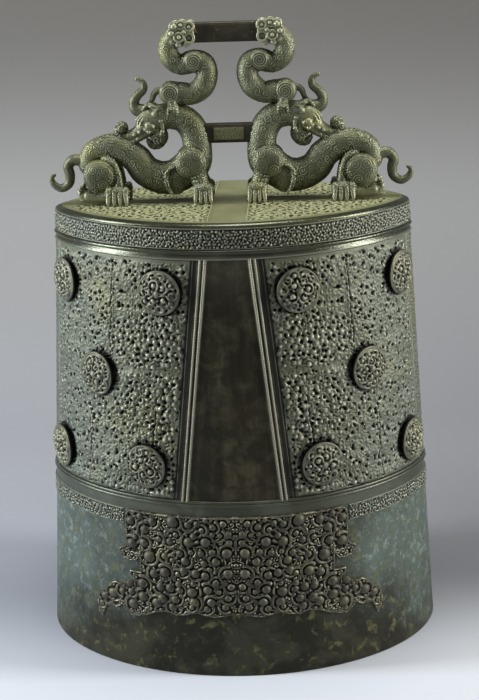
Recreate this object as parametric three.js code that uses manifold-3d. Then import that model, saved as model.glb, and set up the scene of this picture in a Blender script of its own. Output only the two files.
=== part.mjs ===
// Bronze bell with a lens-shaped section, hung by a handle of four dragons and two bars.
// It has no clapper: it hangs by its upper bar and is struck from outside on a raised panel.
// Millimetres, +Z up, mouth on z = 0, long side along X, front face towards -Y.

import * as THREE from 'three';
import { mergeVertices } from 'three/addons/utils/BufferGeometryUtils.js';
import Module from 'manifold-3d';

const wasm = await Module();
wasm.setup();

// Driving dimensions of the bell body
const mouthHalfWidth = 302.5;
const mouthHalfDepth = 231;
const crownHalfWidth = 263;
const crownHalfDepth = 187;
const bodyHeight = 664;
const totalHeight = 929;
const wallThickness = 10;
const crownThickness = 12;
const lipThickness = 15;
const lipHeight = 22;
const lipSlope = 16;

// How full the plan outline is: 0.5 is an ellipse, more draws the sides out to a point
const mouthFullness = 0.54;
const crownFullness = 0.73;

// Bands and mouldings, from the mouth up
const skirtHeight = 219;
const lowerBandHeight = 24.5;
const plainStripHeight = 13.5;
const lowerMouldingHeight = 9.5;
const lowerMouldingChamfer = 1.6;
const slopeHeight = 6.5;
const grooveHeight = 2;
const upperRibHeight = 5;
const upperBandHeight = 31;
const shoulderHeight = 5.5;
const shoulderInset = 7;
const bandProud = 1;
const mouldingProud = 3;
const slopeProud = 2.4;
const grooveDepth = 0.6;

// Raised ribs that border the centre panel and the side edges
const ribWidth = 3.2;
const ribSpacing = 4.2;
const ribProud = 1.8;
const ribRoot = 2;
const panelHalfWidthAtFoot = 66;
const panelHalfWidthAtTop = 29;
const sideRibPlaceShare = 0.965;

// Round bosses
const bossRadius = 32.5;
const bossNeckRadius = 27;
const bossNeckHeight = 3;
const bossRimHeight = 4;
const bossHeight = 14;
const bossCrownWidth = 6;
const bossRoot = 12;

// Main coils of the cast relief in the fields, on staggered rows
const coilRows = 8;
const coilColumns = 5;
const coilRadius = 12;
const coilProud = 2.6;
const coilRoot = 3;
const coilMargin = 12;
const coilClearance = 3;

// Raised panel where the bell is struck, with round beads
const strikeHalfWidth = 160;
const strikeHeight = 145;
const strikeTopDrop = 1.5;
const strikeProud = 3.5;
const beadProud = 6.5;
const beadRadius = 11;
const beadRoot = 2;

// Handle: two large dragons, two small ones on their necks, two bars. It is drawn at this height
// above the crown, and all of it is stretched to the height between the crown and the top.
const handleDrawnHeight = 265;
const handleHalfWidth = 267;
const dragonGirth = 27;
const largeHalfDepth = 25;
const pawReach = 36;
const clawGirth = 5;
const pawGirth = 12;
const drumRound = 4;
const drumProud = 4;
const haunchRadius = 21;
const shoulderRadius = 23;
const eyeRadius = 6.5;
const smallHalfDepth = 18;
const smallHeadRadius = 20.5;
const smallHeadLength = 42;
const smallHeadRound = 6;
const smallHipRadius = 17.5;
const smallRollRadius = 17;
const topBarHeight = 29;
const topBarDepth = 24;
const topBarHalfLength = 44;
const topBarDrop = 4;
const lowerBarHeight = 28;
const lowerBarDepth = 24;
const lowerBarHalfLength = 36;
const lowerBarRise = 86.5;
const tenonLength = 12;
const tenonShrink = 4;
const barEdgeRadius = 2;

// Clearances
const seat = 0.3;
const overrun = 30;
const crumbShare = 0.0001;

// Facet counts round the wall, the bosses, drums and heads
const wallColumns = 52;
const bossSides = 12;
const studSides = 4;
const drumSides = 10;
const headSides = 12;
const eyeSides = 6;
const eyeRows = 4;

// Facet counts of the limbs: sides round the section, steps along the spine
const largeBodyFacets = { sides: 8, steps: 20 };
const snoutFacets = { sides: 6, steps: 8 };
const jawFacets = { sides: 6, steps: 7 };
const hornFacets = { sides: 6, steps: 10 };
const tailFacets = { sides: 6, steps: 12 };
const legFacets = { sides: 5, steps: 4 };
const spurFacets = { sides: 5, steps: 2 };
const toeFacets = { sides: 4, steps: 2, claw: true };
const smallBodyFacets = { sides: 8, steps: 18 };
const smallLegFacets = { sides: 6, steps: 3 };
const smallTailFacets = { sides: 5, steps: 5 };
const spineDivisions = 20;

// Heights worked out from the bands
const lowerBandTop = skirtHeight + lowerBandHeight;
const mouldingFoot = lowerBandTop + plainStripHeight;
const fieldFoot = mouldingFoot + lowerMouldingHeight;
const upperBandTop = bodyHeight - shoulderHeight;
const upperBandFoot = upperBandTop - upperBandHeight;
const upperRibFoot = upperBandFoot - upperRibHeight;
const slopeTop = upperRibFoot - grooveHeight;
const fieldTop = slopeTop - slopeHeight;
const handleStretch = (totalHeight - bodyHeight) / handleDrawnHeight;

// Materials
const bronze = (color, roughness) => new THREE.MeshStandardMaterial({ color, roughness, metalness: 0.8 });
const wallBronze = bronze(0x4a5348, 0.5);
const darkBronze = bronze(0x35362b, 0.5);
const oliveBronze = bronze(0x6b6d4a, 0.6);
const barBronze = bronze(0x3d3728, 0.45);

// Closed solid from a list of corner points and triangles, turned inside out when it faces inwards
function solidOf(corners, triangles) {
  let volume = 0;
  for (const [i, j, k] of triangles) {
    volume += corners[i].dot(new THREE.Vector3().crossVectors(corners[j], corners[k]));
  }
  const outward = volume < 0 ? triangles.map(([i, j, k]) => [i, k, j]) : triangles;
  const vertProperties = new Float32Array(corners.flatMap((corner) => corner.toArray()));
  const triVerts = new Uint32Array(outward.flat());
  return new wasm.Manifold(new wasm.Mesh({ numProp: 3, vertProperties, triVerts }));
}

// Solid from a three.js geometry whose shared corners are merged
function solidOfGeometry(geometry) {
  const bare = geometry.clone();
  bare.deleteAttribute('normal');
  bare.deleteAttribute('uv');
  const merged = mergeVertices(bare);
  const place = merged.getAttribute('position');
  const corners = [];
  for (let i = 0; i < place.count; i += 1) {
    corners.push(new THREE.Vector3().fromBufferAttribute(place, i));
  }
  const index = merged.getIndex().array;
  const triangles = [];
  for (let i = 0; i < index.length; i += 3) {
    const triangle = [index[i], index[i + 1], index[i + 2]];
    if (new Set(triangle).size === 3) {
      triangles.push(triangle);
    }
  }
  return solidOf(corners, triangles);
}

// Skin stretched over closed convex rings with the same number of points; an end without a pole
// is closed flat
function loft(rings, startPole, endPole) {
  const count = rings[0].length;
  const corners = rings.flat();
  const triangles = [];
  for (let row = 0; row + 1 < rings.length; row += 1) {
    for (let column = 0; column < count; column += 1) {
      const a = row * count + column;
      const b = row * count + ((column + 1) % count);
      triangles.push([a, b, b + count], [a, b + count, a + count]);
    }
  }
  const closing = (first, pole) => {
    const hub = pole ? corners.push(pole) - 1 : first;
    const faces = [];
    for (let column = pole ? 0 : 1; column < (pole ? count : count - 1); column += 1) {
      faces.push([first + column, first + ((column + 1) % count), hub]);
    }
    return faces;
  };
  triangles.push(...closing(0, startPole).map(([i, j, k]) => [j, i, k]));
  triangles.push(...closing((rings.length - 1) * count, endPole));
  return solidOf(corners, triangles);
}

const joined = (solids) => solids.reduce((whole, solid) => whole.add(solid));

// Drops the crumbs that a cut leaves along the edge of a facet, far smaller than any real piece
function withoutCrumbs(solid) {
  const least = crumbShare * solid.volume();
  return joined(solid.decompose().filter((body) => body.volume() > least));
}

// Half width, half depth and fullness of the plan outline at a height
function planAt(height) {
  const rise = height / bodyHeight;
  return {
    width: THREE.MathUtils.lerp(mouthHalfWidth, crownHalfWidth, rise),
    depth: THREE.MathUtils.lerp(mouthHalfDepth, crownHalfDepth, rise),
    fullness: THREE.MathUtils.lerp(mouthFullness, crownFullness, rise),
  };
}

// Outward direction of the wall in plan at a turn about the axis
function wallNormal(turn, height) {
  const { width, depth, fullness } = planAt(height);
  const sine = Math.abs(Math.sin(turn));
  const cosine = Math.cos(turn);
  const sideways = depth * 2 * fullness * sine ** (2 * fullness - 1) * cosine;
  const forwards = width * Math.sin(turn);
  const normal = new THREE.Vector3(sideways, forwards, 0);
  return normal.lengthSq() > 0 ? normal.normalize() : new THREE.Vector3(Math.sign(cosine), 0, 0);
}

// Point of the outer wall at a turn about the axis, moved out along the wall's normal
function wallAtTurn(turn, height, outwards) {
  const { width, depth, fullness } = planAt(height);
  const sine = Math.sin(turn);
  const point = new THREE.Vector3(width * Math.cos(turn), 0, height);
  point.y = depth * Math.sign(sine) * Math.abs(sine) ** (2 * fullness);
  return point.addScaledVector(wallNormal(turn, height), outwards);
}

// Turn of the wall point with a given x on the front (-1) or back (1) face
function turnAt(x, height, face) {
  return face * Math.acos(x / planAt(height).width);
}

function wallRing(height, outwards) {
  const ring = [];
  for (let column = 0; column < wallColumns; column += 1) {
    ring.push(wallAtTurn((2 * Math.PI * column) / wallColumns, height, outwards));
  }
  return ring;
}

// Outside of the bell as a full solid: skirt, bands, mouldings and rounded shoulder
function outerBody(grow) {
  const profile = [
    [0, 0],
    [skirtHeight, 0],
    [skirtHeight, bandProud],
    [lowerBandTop, bandProud],
    [lowerBandTop, 0],
    [mouldingFoot, 0],
    [mouldingFoot + lowerMouldingChamfer, mouldingProud],
    [fieldFoot - lowerMouldingChamfer, mouldingProud],
    [fieldFoot, 0],
    [fieldTop, 0],
    [fieldTop, slopeProud],
    [slopeTop, -grooveDepth],
    [upperRibFoot, -grooveDepth],
    [upperRibFoot, mouldingProud],
    [upperBandFoot, mouldingProud],
    [upperBandFoot, bandProud],
    [upperBandTop, bandProud],
    [bodyHeight - shoulderHeight / 3, -shoulderInset / 3],
    [bodyHeight, -shoulderInset],
  ];
  const rings = profile.map(([height, outwards]) => wallRing(height, outwards + grow));
  const lift = new THREE.Vector3(0, 0, grow);
  rings[rings.length - 1].forEach((point) => point.add(lift));
  return loft(rings);
}

// Cavity: thin wall, thicker lip round the mouth, flat ceiling
function innerBody() {
  const profile = [
    [-overrun, -lipThickness],
    [lipHeight, -lipThickness],
    [lipHeight + lipSlope, -wallThickness],
    [bodyHeight - crownThickness, -wallThickness],
  ];
  return loft(profile.map(([height, outwards]) => wallRing(height, outwards)));
}

// Upright rib on the wall between two x places at the foot of the field and two at its top
function wallRib(footPlace, topPlace, face, bends, grow) {
  const stations = Array.from({ length: bends + 2 }, (_, index) => {
    const share = index / (bends + 1);
    const height = THREE.MathUtils.lerp(fieldFoot - lowerMouldingChamfer, fieldTop + ribProud / 2, share);
    const middle = THREE.MathUtils.lerp(footPlace(height), topPlace(height), share);
    const reach = ribWidth / 2 + grow;
    const at = (x, outwards) => wallAtTurn(turnAt(x, height, face), height, outwards);
    return [
      at(middle - reach, -ribRoot),
      at(middle + reach, -ribRoot),
      at(middle + reach, ribProud + grow),
      at(middle - reach, ribProud + grow),
    ];
  });
  return loft(stations);
}

// All ribs: a double one on each side of the centre panel and one near each side edge
function wallRibs(grow) {
  const ribs = [];
  for (const face of [-1, 1]) {
    for (const side of [-1, 1]) {
      for (const step of [0, 1]) {
        const out = ribWidth / 2 + step * (ribWidth + ribSpacing);
        const foot = () => side * (panelHalfWidthAtFoot + out);
        const top = () => side * (panelHalfWidthAtTop + out);
        ribs.push(wallRib(foot, top, face, 0, grow));
      }
      const edge = (height) => side * sideRibPlaceShare * planAt(height).width;
      ribs.push(wallRib(edge, edge, face, 1, grow));
    }
  }
  return ribs;
}

const bellOutside = (grow) => joined([outerBody(grow), ...wallRibs(grow)]);
const seatCutter = bellOutside(seat);

// Main coils of one field's relief, clear of the ribs and of the bosses
function fieldCoils(side, face) {
  const centres = bossPlaceShares.map((shares) => wallAtTurn(...bossPlace(shares, side, face), 0));
  const coils = [];
  for (let row = 0; row < coilRows; row += 1) {
    const rise = (row + 0.5) / coilRows;
    const height = THREE.MathUtils.lerp(fieldFoot, fieldTop, rise);
    const panelEdge = THREE.MathUtils.lerp(panelHalfWidthAtFoot, panelHalfWidthAtTop, rise);
    const innerPlace = panelEdge + 2 * ribWidth + ribSpacing + coilMargin;
    const outerPlace = sideRibPlaceShare * planAt(height).width;
    const inner = turnAt(side * innerPlace, height, face);
    const outer = turnAt(side * outerPlace, height, face);
    const shift = (row % 2) / 2;
    for (let column = shift; column <= coilColumns - 1; column += 1) {
      const turn = THREE.MathUtils.lerp(inner, outer, (column + firstCoilShare) / coilColumns);
      const centre = wallAtTurn(turn, height, 0);
      if (centres.every((other) => other.distanceTo(centre) > bossRadius + coilRadius + coilClearance)) {
        coils.push(stud(turn, height, -coilRoot, coilProud, coilRadius));
      }
    }
  }
  return coils;
}
// Places of the five bosses of a field: share of the half width, share of the field height
const bossPlaceShares = [
  [0.355, 0.865],
  [0.9, 0.855],
  [0.7, 0.495],
  [0.44, 0.135],
  [0.912, 0.12],
];

// Top of a stud as a share of its foot, and place of a row's first coil as a share of the step
const studTopShare = 0.62;
const firstCoilShare = 0.3;

// Places a turned form square on the wall, its axis along the wall's normal
function onWall(lathe, turn, height) {
  const axis = new THREE.Vector3(0, 1, 0);
  lathe.applyQuaternion(new THREE.Quaternion().setFromUnitVectors(axis, wallNormal(turn, height)));
  lathe.translate(...wallAtTurn(turn, height, 0).toArray());
  return solidOfGeometry(lathe);
}

// Low stud on the wall between two offsets from it, narrower at its top
function stud(turn, height, foot, top, radius) {
  const profile = [
    [0, foot],
    [radius, foot],
    [radius * studTopShare, top],
    [0, top],
  ].map(([reach, out]) => new THREE.Vector2(reach, out));
  return onWall(new THREE.LatheGeometry(profile, studSides), turn, height);
}
// Turn and height of a boss from its share of the half width and of the field's height
function bossPlace([place, heightShare], side, face) {
  const height = THREE.MathUtils.lerp(fieldFoot, fieldTop, heightShare);
  return [turnAt(side * place * planAt(height).width, height, face), height];
}

// One boss: neck, overhanging rim and slightly domed face, standing square on the wall
function boss(shares, side, face) {
  const profile = [
    [0, -bossRoot],
    [bossNeckRadius, -bossRoot],
    [bossNeckRadius, bossNeckHeight],
    [bossRadius, bossNeckHeight + bossRimHeight / 3],
    [bossRadius, bossNeckHeight + bossRimHeight],
    [bossRadius - bossCrownWidth, bossHeight - bossRimHeight / 3],
    [0, bossHeight],
  ].map(([radius, height]) => new THREE.Vector2(radius, height));
  const lathe = new THREE.LatheGeometry(profile, bossSides);
  return onWall(lathe, ...bossPlace(shares, side, face)).subtract(seatCutter);
}

// Outline of the strike panel, right half from the top middle down: shares of its half
// width and of its height
const strikeOutlineShares = [
  [0.0, 1.0],
  [0.95, 1.0],
  [0.985, 0.98],
  [1.0, 0.93],
  [1.0, 0.64],
  [1.03, 0.6],
  [1.065, 0.59],
  [1.075, 0.55],
  [1.04, 0.5],
  [0.98, 0.48],
  [0.92, 0.49],
  [0.875, 0.56],
  [0.875, 0.365],
  [0.975, 0.365],
  [0.975, 0.325],
  [0.94, 0.3],
  [0.935, 0.22],
  [0.96, 0.245],
  [1.0, 0.25],
  [1.035, 0.22],
  [1.05, 0.17],
  [1.08, 0.195],
  [1.13, 0.205],
  [1.18, 0.175],
  [1.215, 0.11],
  [1.26, 0.075],
  [1.305, 0.01],
  [1.32, -0.07],
  [1.31, -0.15],
  [1.285, -0.205],
  [1.265, -0.14],
  [1.24, -0.08],
  [1.18, -0.065],
  [1.13, -0.06],
  [1.075, -0.02],
  [1.03, -0.07],
  [0.98, -0.11],
  [0.91, -0.095],
  [0.84, -0.075],
  [0.75, -0.03],
  [0.65, 0.0],
  [0.56, -0.035],
  [0.47, -0.02],
  [0.38, 0.01],
  [0.29, -0.015],
  [0.2, -0.03],
  [0.1, -0.01],
  [0.0, 0.0],
];

// Beads of the strike panel, right half: shares of its half width and of its height
const strikeBeadShares = [
  [0.16, 0.85],
  [0.5, 0.86],
  [0.82, 0.87],
  [0.33, 0.66],
  [0.66, 0.68],
  [0.1, 0.46],
  [0.46, 0.45],
  [0.76, 0.45],
  [0.26, 0.2],
  [0.6, 0.2],
  [0.9, 0.1],
  [1.16, 0.06],
];

// Raised strike panel that follows the wall
function strikePanel(face) {
  const foot = lowerBandTop - strikeTopDrop - strikeHeight;
  const right = strikeOutlineShares.map(([x, z]) => [x * strikeHalfWidth, foot + z * strikeHeight]);
  const left = right.slice(1, -1).reverse().map(([x, z]) => [-x, z]);
  const outline = new THREE.Shape([...right, ...left].map(([x, z]) => new THREE.Vector2(x, z)));
  const depth = mouthHalfDepth + overrun;
  const block = new THREE.ExtrudeGeometry(outline, { depth, bevelEnabled: false });
  block.rotateX(Math.PI / 2);
  if (face > 0) {
    block.rotateZ(Math.PI);
  }
  const plate = solidOfGeometry(block).intersect(outerBody(seat + strikeProud)).subtract(seatCutter);
  const beads = [];
  for (const side of [-1, 1]) {
    for (const [x, z] of strikeBeadShares) {
      const height = foot + z * strikeHeight;
      const turn = turnAt(side * x * strikeHalfWidth, height, face);
      beads.push(stud(turn, height, beadRoot, beadProud, beadRadius));
    }
  }
  return joined([plate, ...beads]);
}

// Point of the drawn handle from shares: along X out from the middle, up from the crown
const handlePoint = (side, x, y, z) =>
  new THREE.Vector3(side * x * handleHalfWidth, y, z * handleDrawnHeight);

// Drawn form of the handle, stretched to the handle's height and lifted onto the crown
const onCrown = (drawn) => drawn.scale([1, 1, handleStretch]).translate([0, 0, bodyHeight]);

// Limb through stations [point, girth]: an oval section, flattened along Y by its form; its ends
// are rounded, or flat at the root and pointed at the tip for a claw
function limb(stations, form, grow) {
  const { flatness = 1, sides, steps, claw = false } = form;
  const spine = new THREE.CatmullRomCurve3(stations.map(([point]) => point), false, 'catmullrom');
  spine.arcLengthDivisions = spineDivisions * stations.length;
  const girths = new THREE.CatmullRomCurve3(
    stations.map(([, girth]) => new THREE.Vector3(girth, 0, 0)), false, 'catmullrom');
  const frames = spine.computeFrenetFrames(steps, false);
  const girthAt = (step) => girths.getPoint(spine.getUtoTmapping(step / steps)).x + grow;
  const along = (step, push) =>
    spine.getPointAt(step / steps).addScaledVector(frames.tangents[step], push * girthAt(step));
  const ringAt = (step, shrink, push) => {
    const girth = girthAt(step) * shrink;
    const centre = along(step, push);
    const ring = [];
    for (let corner = 0; corner < sides; corner += 1) {
      const angle = (2 * Math.PI * (corner + 0.5)) / sides;
      const point = centre.clone();
      point.addScaledVector(frames.binormals[step], girth * Math.cos(angle));
      point.addScaledVector(frames.normals[step], girth * flatness * Math.sin(angle));
      ring.push(point);
    }
    return ring;
  };
  const rings = [];
  for (let step = 0; step <= steps; step += 1) {
    rings.push(ringAt(step, 1, 0));
  }
  if (claw) {
    return loft(rings, null, along(steps, 1));
  }
  rings.unshift(ringAt(0, Math.SQRT1_2, -Math.SQRT1_2));
  rings.push(ringAt(steps, Math.SQRT1_2, Math.SQRT1_2));
  return loft(rings, along(0, -1), along(steps, 1));
}

// Limb in the handle's middle plane from rows of shares [x, z, girth]
function flatLimb(shares, side, form, grow) {
  const stations = shares.map(([x, z, girth]) => [handlePoint(side, x, 0, z), girth * dragonGirth]);
  return limb(stations, form, grow);
}

// Limb beside the middle plane from rows of shares [x, y of the paw's reach, z, girth of the paw]
function sideLimb(shares, side, flank, form, grow) {
  const stations = shares.map(([x, y, z, girth]) =>
    [handlePoint(side, x, flank * y * pawReach, z), girth * pawGirth]);
  return limb(stations, form, grow);
}

// Round drum across the handle, with rounded edges, for a haunch, a shoulder or a coil
function drum(side, x, z, radius, halfDepth, grow) {
  const half = halfDepth + grow;
  const reach = radius + grow;
  const profile = [
    [0, -half],
    [reach - drumRound, -half],
    [reach, drumRound - half],
    [reach, half - drumRound],
    [reach - drumRound, half],
    [0, half],
  ].map(([out, along]) => new THREE.Vector2(out, along));
  const lathe = new THREE.LatheGeometry(profile, drumSides);
  lathe.translate(...handlePoint(side, x, 0, z).toArray());
  return solidOfGeometry(lathe);
}

// Routes of the large dragon, shares of the handle's half width, of its height and of the girth
const largeBodyShares = [
  [0.785, 0.217, 0.58],
  [0.76, 0.286, 0.62],
  [0.67, 0.315, 0.72],
  [0.59, 0.295, 0.77],
  [0.52, 0.246, 0.81],
  [0.47, 0.177, 0.85],
  [0.385, 0.138, 0.9],
  [0.295, 0.148, 0.95],
  [0.205, 0.217, 0.98],
  [0.18, 0.305, 0.8],
  [0.195, 0.394, 0.78],
  [0.245, 0.458, 0.75],
  [0.32, 0.478, 0.7],
  [0.4, 0.468, 0.75],
  [0.445, 0.438, 0.7],
  [0.475, 0.399, 0.58],
];
const snoutShares = [
  [0.46, 0.414, 0.5],
  [0.51, 0.379, 0.4],
  [0.565, 0.357, 0.34],
  [0.607, 0.379, 0.3],
  [0.617, 0.414, 0.27],
  [0.6, 0.436, 0.25],
  [0.575, 0.433, 0.17],
];
const jawShares = [
  [0.4, 0.443, 0.5],
  [0.383, 0.404, 0.38],
  [0.365, 0.364, 0.3],
  [0.389, 0.327, 0.27],
  [0.425, 0.32, 0.23],
  [0.446, 0.342, 0.18],
];
const hornShares = [
  [0.428, 0.483, 0.28],
  [0.464, 0.506, 0.38],
  [0.507, 0.521, 0.34],
  [0.518, 0.559, 0.28],
  [0.498, 0.596, 0.25],
  [0.465, 0.626, 0.22],
  [0.46, 0.658, 0.18],
  [0.478, 0.68, 0.14],
  [0.499, 0.687, 0.1],
];
const tailShares = [
  [0.79, 0.222, 0.28],
  [0.822, 0.24, 0.32],
  [0.873, 0.247, 0.3],
  [0.904, 0.211, 0.285],
  [0.896, 0.164, 0.275],
  [0.904, 0.116, 0.25],
  [0.947, 0.09, 0.225],
  [0.988, 0.112, 0.185],
  [1., 0.148, 0.14],
  [0.982, 0.165, 0.09],
];
const haunchPlaceShares = [0.72, 0.177];
const shoulderPlaceShares = [0.215, 0.225];
const eyePlaceShares = [0.447, 0.445];
const eyeDepthShare = 0.62;

// Legs: shares [x, y of the paw's reach, z, girth of the paw's girth]
const hindLegShares = [
  [0.72, 0.3, 0.12, 1.2],
  [0.79, 0.5, 0.07, 0.9],
  [0.75, 0.62, 0.048, 0.85],
  [0.69, 0.66, 0.055, 0.9],
  [0.635, 0.6, 0.06, 1.0],
];
const hindSpurShares = [
  [0.79, 0.5, 0.06, 0.55],
  [0.825, 0.5, 0.075, 0.5],
  [0.835, 0.5, 0.115, 0.4],
  [0.815, 0.5, 0.14, 0.25],
];
const frontLegShares = [
  [0.24, 0.35, 0.16, 1.2],
  [0.215, 0.42, 0.1, 1.1],
  [0.165, 0.35, 0.06, 1.1],
];
// Route of a toe: reach beyond its root as a share of the paw's reach, rise and girth as shares
// of the claw's girth
const toeRouteShares = [
  [0, 3.4, 1],
  [0.42, 2.8, 1],
  [0.52, 0.6, 0.72],
];
const hindRootShare = 0.5;
const frontRootShare = 0.3;
const hindToeShares = [0.588, 0.625, 0.662, 0.699];
const frontToeShares = [0.112, 0.144, 0.176, 0.208];

// Toe that leaves the paw, bends over its knuckle and stands on the crown
function toe(side, flank, x, rootReach) {
  const at = (reach, rise) => {
    const point = handlePoint(side, x, flank * pawReach * reach, 0);
    point.z += clawGirth * rise;
    return point;
  };
  return toeRouteShares.map(([reach, rise, girth]) => [at(rootReach + reach, rise), girth * clawGirth]);
}

function leg(side, flank, shares, toes, rootReach, grow) {
  const parts = [sideLimb(shares, side, flank, legFacets, grow)];
  for (const x of toes) {
    parts.push(limb(toe(side, flank, x, rootReach), toeFacets, grow));
  }
  return parts;
}

// Large dragon: crouched body, neck curled back over it, jaws, haunch, shoulder and paws
function largeDragonShape(side, grow) {
  const flatness = largeHalfDepth / dragonGirth;
  const parts = [flatLimb(largeBodyShares, side, { flatness, ...largeBodyFacets }, grow)];
  parts.push(flatLimb(snoutShares, side, snoutFacets, grow));
  parts.push(flatLimb(jawShares, side, jawFacets, grow));
  const drumDepth = largeHalfDepth + drumProud;
  parts.push(drum(side, ...haunchPlaceShares, haunchRadius, drumDepth, grow));
  parts.push(drum(side, ...shoulderPlaceShares, shoulderRadius, drumDepth, grow));
  for (const flank of [-1, 1]) {
    parts.push(...leg(side, flank, hindLegShares, hindToeShares, hindRootShare, grow));
    parts.push(...leg(side, flank, frontLegShares, frontToeShares, frontRootShare, grow));
    parts.push(sideLimb(hindSpurShares, side, flank, spurFacets, grow));
    const eye = new THREE.SphereGeometry(eyeRadius + grow, eyeSides, eyeRows);
    const [x, z] = eyePlaceShares;
    eye.translate(...handlePoint(side, x, flank * largeHalfDepth * eyeDepthShare, z).toArray());
    parts.push(solidOfGeometry(eye));
  }
  return onCrown(joined(parts));
}

// Small dragon: head biting the bar, neck and body in an S, hips and paws on the large one
const smallBodyShares = [
  [0.242, 0.91, 0.6],
  [0.285, 0.905, 0.6],
  [0.319, 0.854, 0.53],
  [0.304, 0.791, 0.55],
  [0.25, 0.759, 0.55],
  [0.182, 0.774, 0.62],
  [0.126, 0.757, 0.61],
  [0.111, 0.695, 0.58],
  [0.138, 0.634, 0.61],
  [0.196, 0.598, 0.58],
  [0.256, 0.602, 0.61],
  [0.314, 0.604, 0.64],
];
const smallGirthShare = 0.62;
const smallLegShares = [
  [0.31, 0.3, 0.6, 0.9],
  [0.3, 0.52, 0.555, 0.8],
  [0.27, 0.62, 0.525, 0.6],
];
const smallTailShares = [
  [0.337, 0.608, 0.2],
  [0.377, 0.621, 0.19],
  [0.405, 0.602, 0.17],
  [0.417, 0.571, 0.14],
  [0.437, 0.547, 0.09],
];
const rollPlaceShares = [0.182, 0.774];
const hipPlaceShares = [0.314, 0.604];

// Head as a short barrel along the bar, whose mouth closes on the bar's end
function smallHead(side, grow) {
  const lips = topBarHalfLength + seat - grow;
  const nape = lips + smallHeadLength + 2 * grow;
  const reach = smallHeadRadius + grow;
  const profile = [
    [0, lips],
    [reach - smallHeadRound, lips],
    [reach, lips + smallHeadRound],
    [reach, nape - 2 * smallHeadRound],
    [reach - 2 * smallHeadRound, nape],
    [0, nape],
  ].map(([radius, along]) => new THREE.Vector2(radius, along));
  const lathe = new THREE.LatheGeometry(profile, headSides);
  lathe.rotateZ((-side * Math.PI) / 2);
  lathe.translate(0, 0, handleDrawnHeight - smallHeadRadius);
  return solidOfGeometry(lathe);
}

function smallDragonShape(side, grow) {
  const flatness = smallHalfDepth / (smallGirthShare * dragonGirth);
  const parts = [flatLimb(smallBodyShares, side, { flatness, ...smallBodyFacets }, grow)];
  parts.push(smallHead(side, grow));
  parts.push(drum(side, ...rollPlaceShares, smallRollRadius, smallHalfDepth + drumProud / 2, grow));
  parts.push(drum(side, ...hipPlaceShares, smallHipRadius, smallHalfDepth + drumProud / 2, grow));
  for (const flank of [-1, 1]) {
    parts.push(sideLimb(smallLegShares, side, flank, smallLegFacets, grow));
  }
  return onCrown(joined(parts));
}

const tailShape = (side, grow) => onCrown(flatLimb(tailShares, side, tailFacets, grow));
const hornShape = (side, grow) => onCrown(flatLimb(hornShares, side, hornFacets, grow));
const smallTailShape = (side, grow) => onCrown(flatLimb(smallTailShares, side, smallTailFacets, grow));

// Bar with rounded long edges and a slimmer tenon at each end
function barShape(height, depth, halfLength, centre, grow) {
  const block = (tall, deep, half) => {
    const rise = tall / 2 + grow;
    const reach = deep / 2 + grow;
    const round = barEdgeRadius;
    const outline = new THREE.Shape([
      new THREE.Vector2(round - reach, -rise),
      new THREE.Vector2(reach - round, -rise),
      new THREE.Vector2(reach, round - rise),
      new THREE.Vector2(reach, rise - round),
      new THREE.Vector2(reach - round, rise),
      new THREE.Vector2(round - reach, rise),
      new THREE.Vector2(-reach, rise - round),
      new THREE.Vector2(-reach, round - rise),
    ]);
    const length = 2 * (half + grow);
    const bar = new THREE.ExtrudeGeometry(outline, { depth: length, bevelEnabled: false });
    bar.translate(0, 0, -length / 2);
    bar.rotateX(Math.PI / 2);
    bar.rotateZ(Math.PI / 2);
    bar.translate(0, 0, centre);
    return solidOfGeometry(bar);
  };
  const tenon = block(height - 2 * tenonShrink, depth - 2 * tenonShrink, halfLength + tenonLength);
  return onCrown(block(height, depth, halfLength).add(tenon));
}

const topBarCentre = handleDrawnHeight - topBarDrop - topBarHeight / 2;
const lowerBarCentre = lowerBarRise + lowerBarHeight / 2;
const topBar = (grow) => barShape(topBarHeight, topBarDepth, topBarHalfLength, topBarCentre, grow);
const lowerBar = (grow) => barShape(lowerBarHeight, lowerBarDepth, lowerBarHalfLength, lowerBarCentre, grow);

// Assembly
const bell = new THREE.Group();
bell.name = 'bell';

function addPiece(name, solid, material) {
  const mesh = solid.getMesh();
  const geometry = new THREE.BufferGeometry();
  geometry.setAttribute('position', new THREE.BufferAttribute(new Float32Array(mesh.vertProperties), 3));
  geometry.setIndex(new THREE.BufferAttribute(new Uint32Array(mesh.triVerts), 1));
  geometry.computeVertexNormals();
  const piece = new THREE.Mesh(geometry, material);
  piece.name = name;
  bell.add(piece);
}

const coils = [-1, 1].flatMap((face) => [-1, 1].flatMap((side) => fieldCoils(side, face)));
addPiece('bell_shell', joined([bellOutside(0), ...coils]).subtract(innerBody()), wallBronze);

for (const [faceName, face] of [['front', -1], ['back', 1]]) {
  addPiece(`strike_panel_${faceName}`, strikePanel(face), darkBronze);
  for (const [sideName, side] of [['left', -1], ['right', 1]]) {
    bossPlaceShares.forEach((shares, index) => {
      addPiece(`boss_${faceName}_${sideName}_${index + 1}`, boss(shares, side, face), oliveBronze);
    });
  }
}

for (const [sideName, side] of [['left', -1], ['right', 1]]) {
  const large = largeDragonShape(side, 0)
    .subtract(tailShape(side, seat))
    .subtract(hornShape(side, seat))
    .subtract(lowerBar(seat))
    .subtract(seatCutter);
  addPiece(`large_dragon_${sideName}`, withoutCrumbs(large), wallBronze);
  addPiece(`large_dragon_${sideName}_tail`, tailShape(side, 0), wallBronze);
  addPiece(`large_dragon_${sideName}_horn`, hornShape(side, 0), wallBronze);
  const small = smallDragonShape(side, 0)
    .subtract(largeDragonShape(side, seat))
    .subtract(smallTailShape(side, seat))
    .subtract(topBar(seat));
  addPiece(`small_dragon_${sideName}`, withoutCrumbs(small), oliveBronze);
  addPiece(`small_dragon_${sideName}_tail`, smallTailShape(side, 0), wallBronze);
}

addPiece('hanging_bar', topBar(0), barBronze);
addPiece('lower_bar', lowerBar(0), barBronze);

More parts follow.
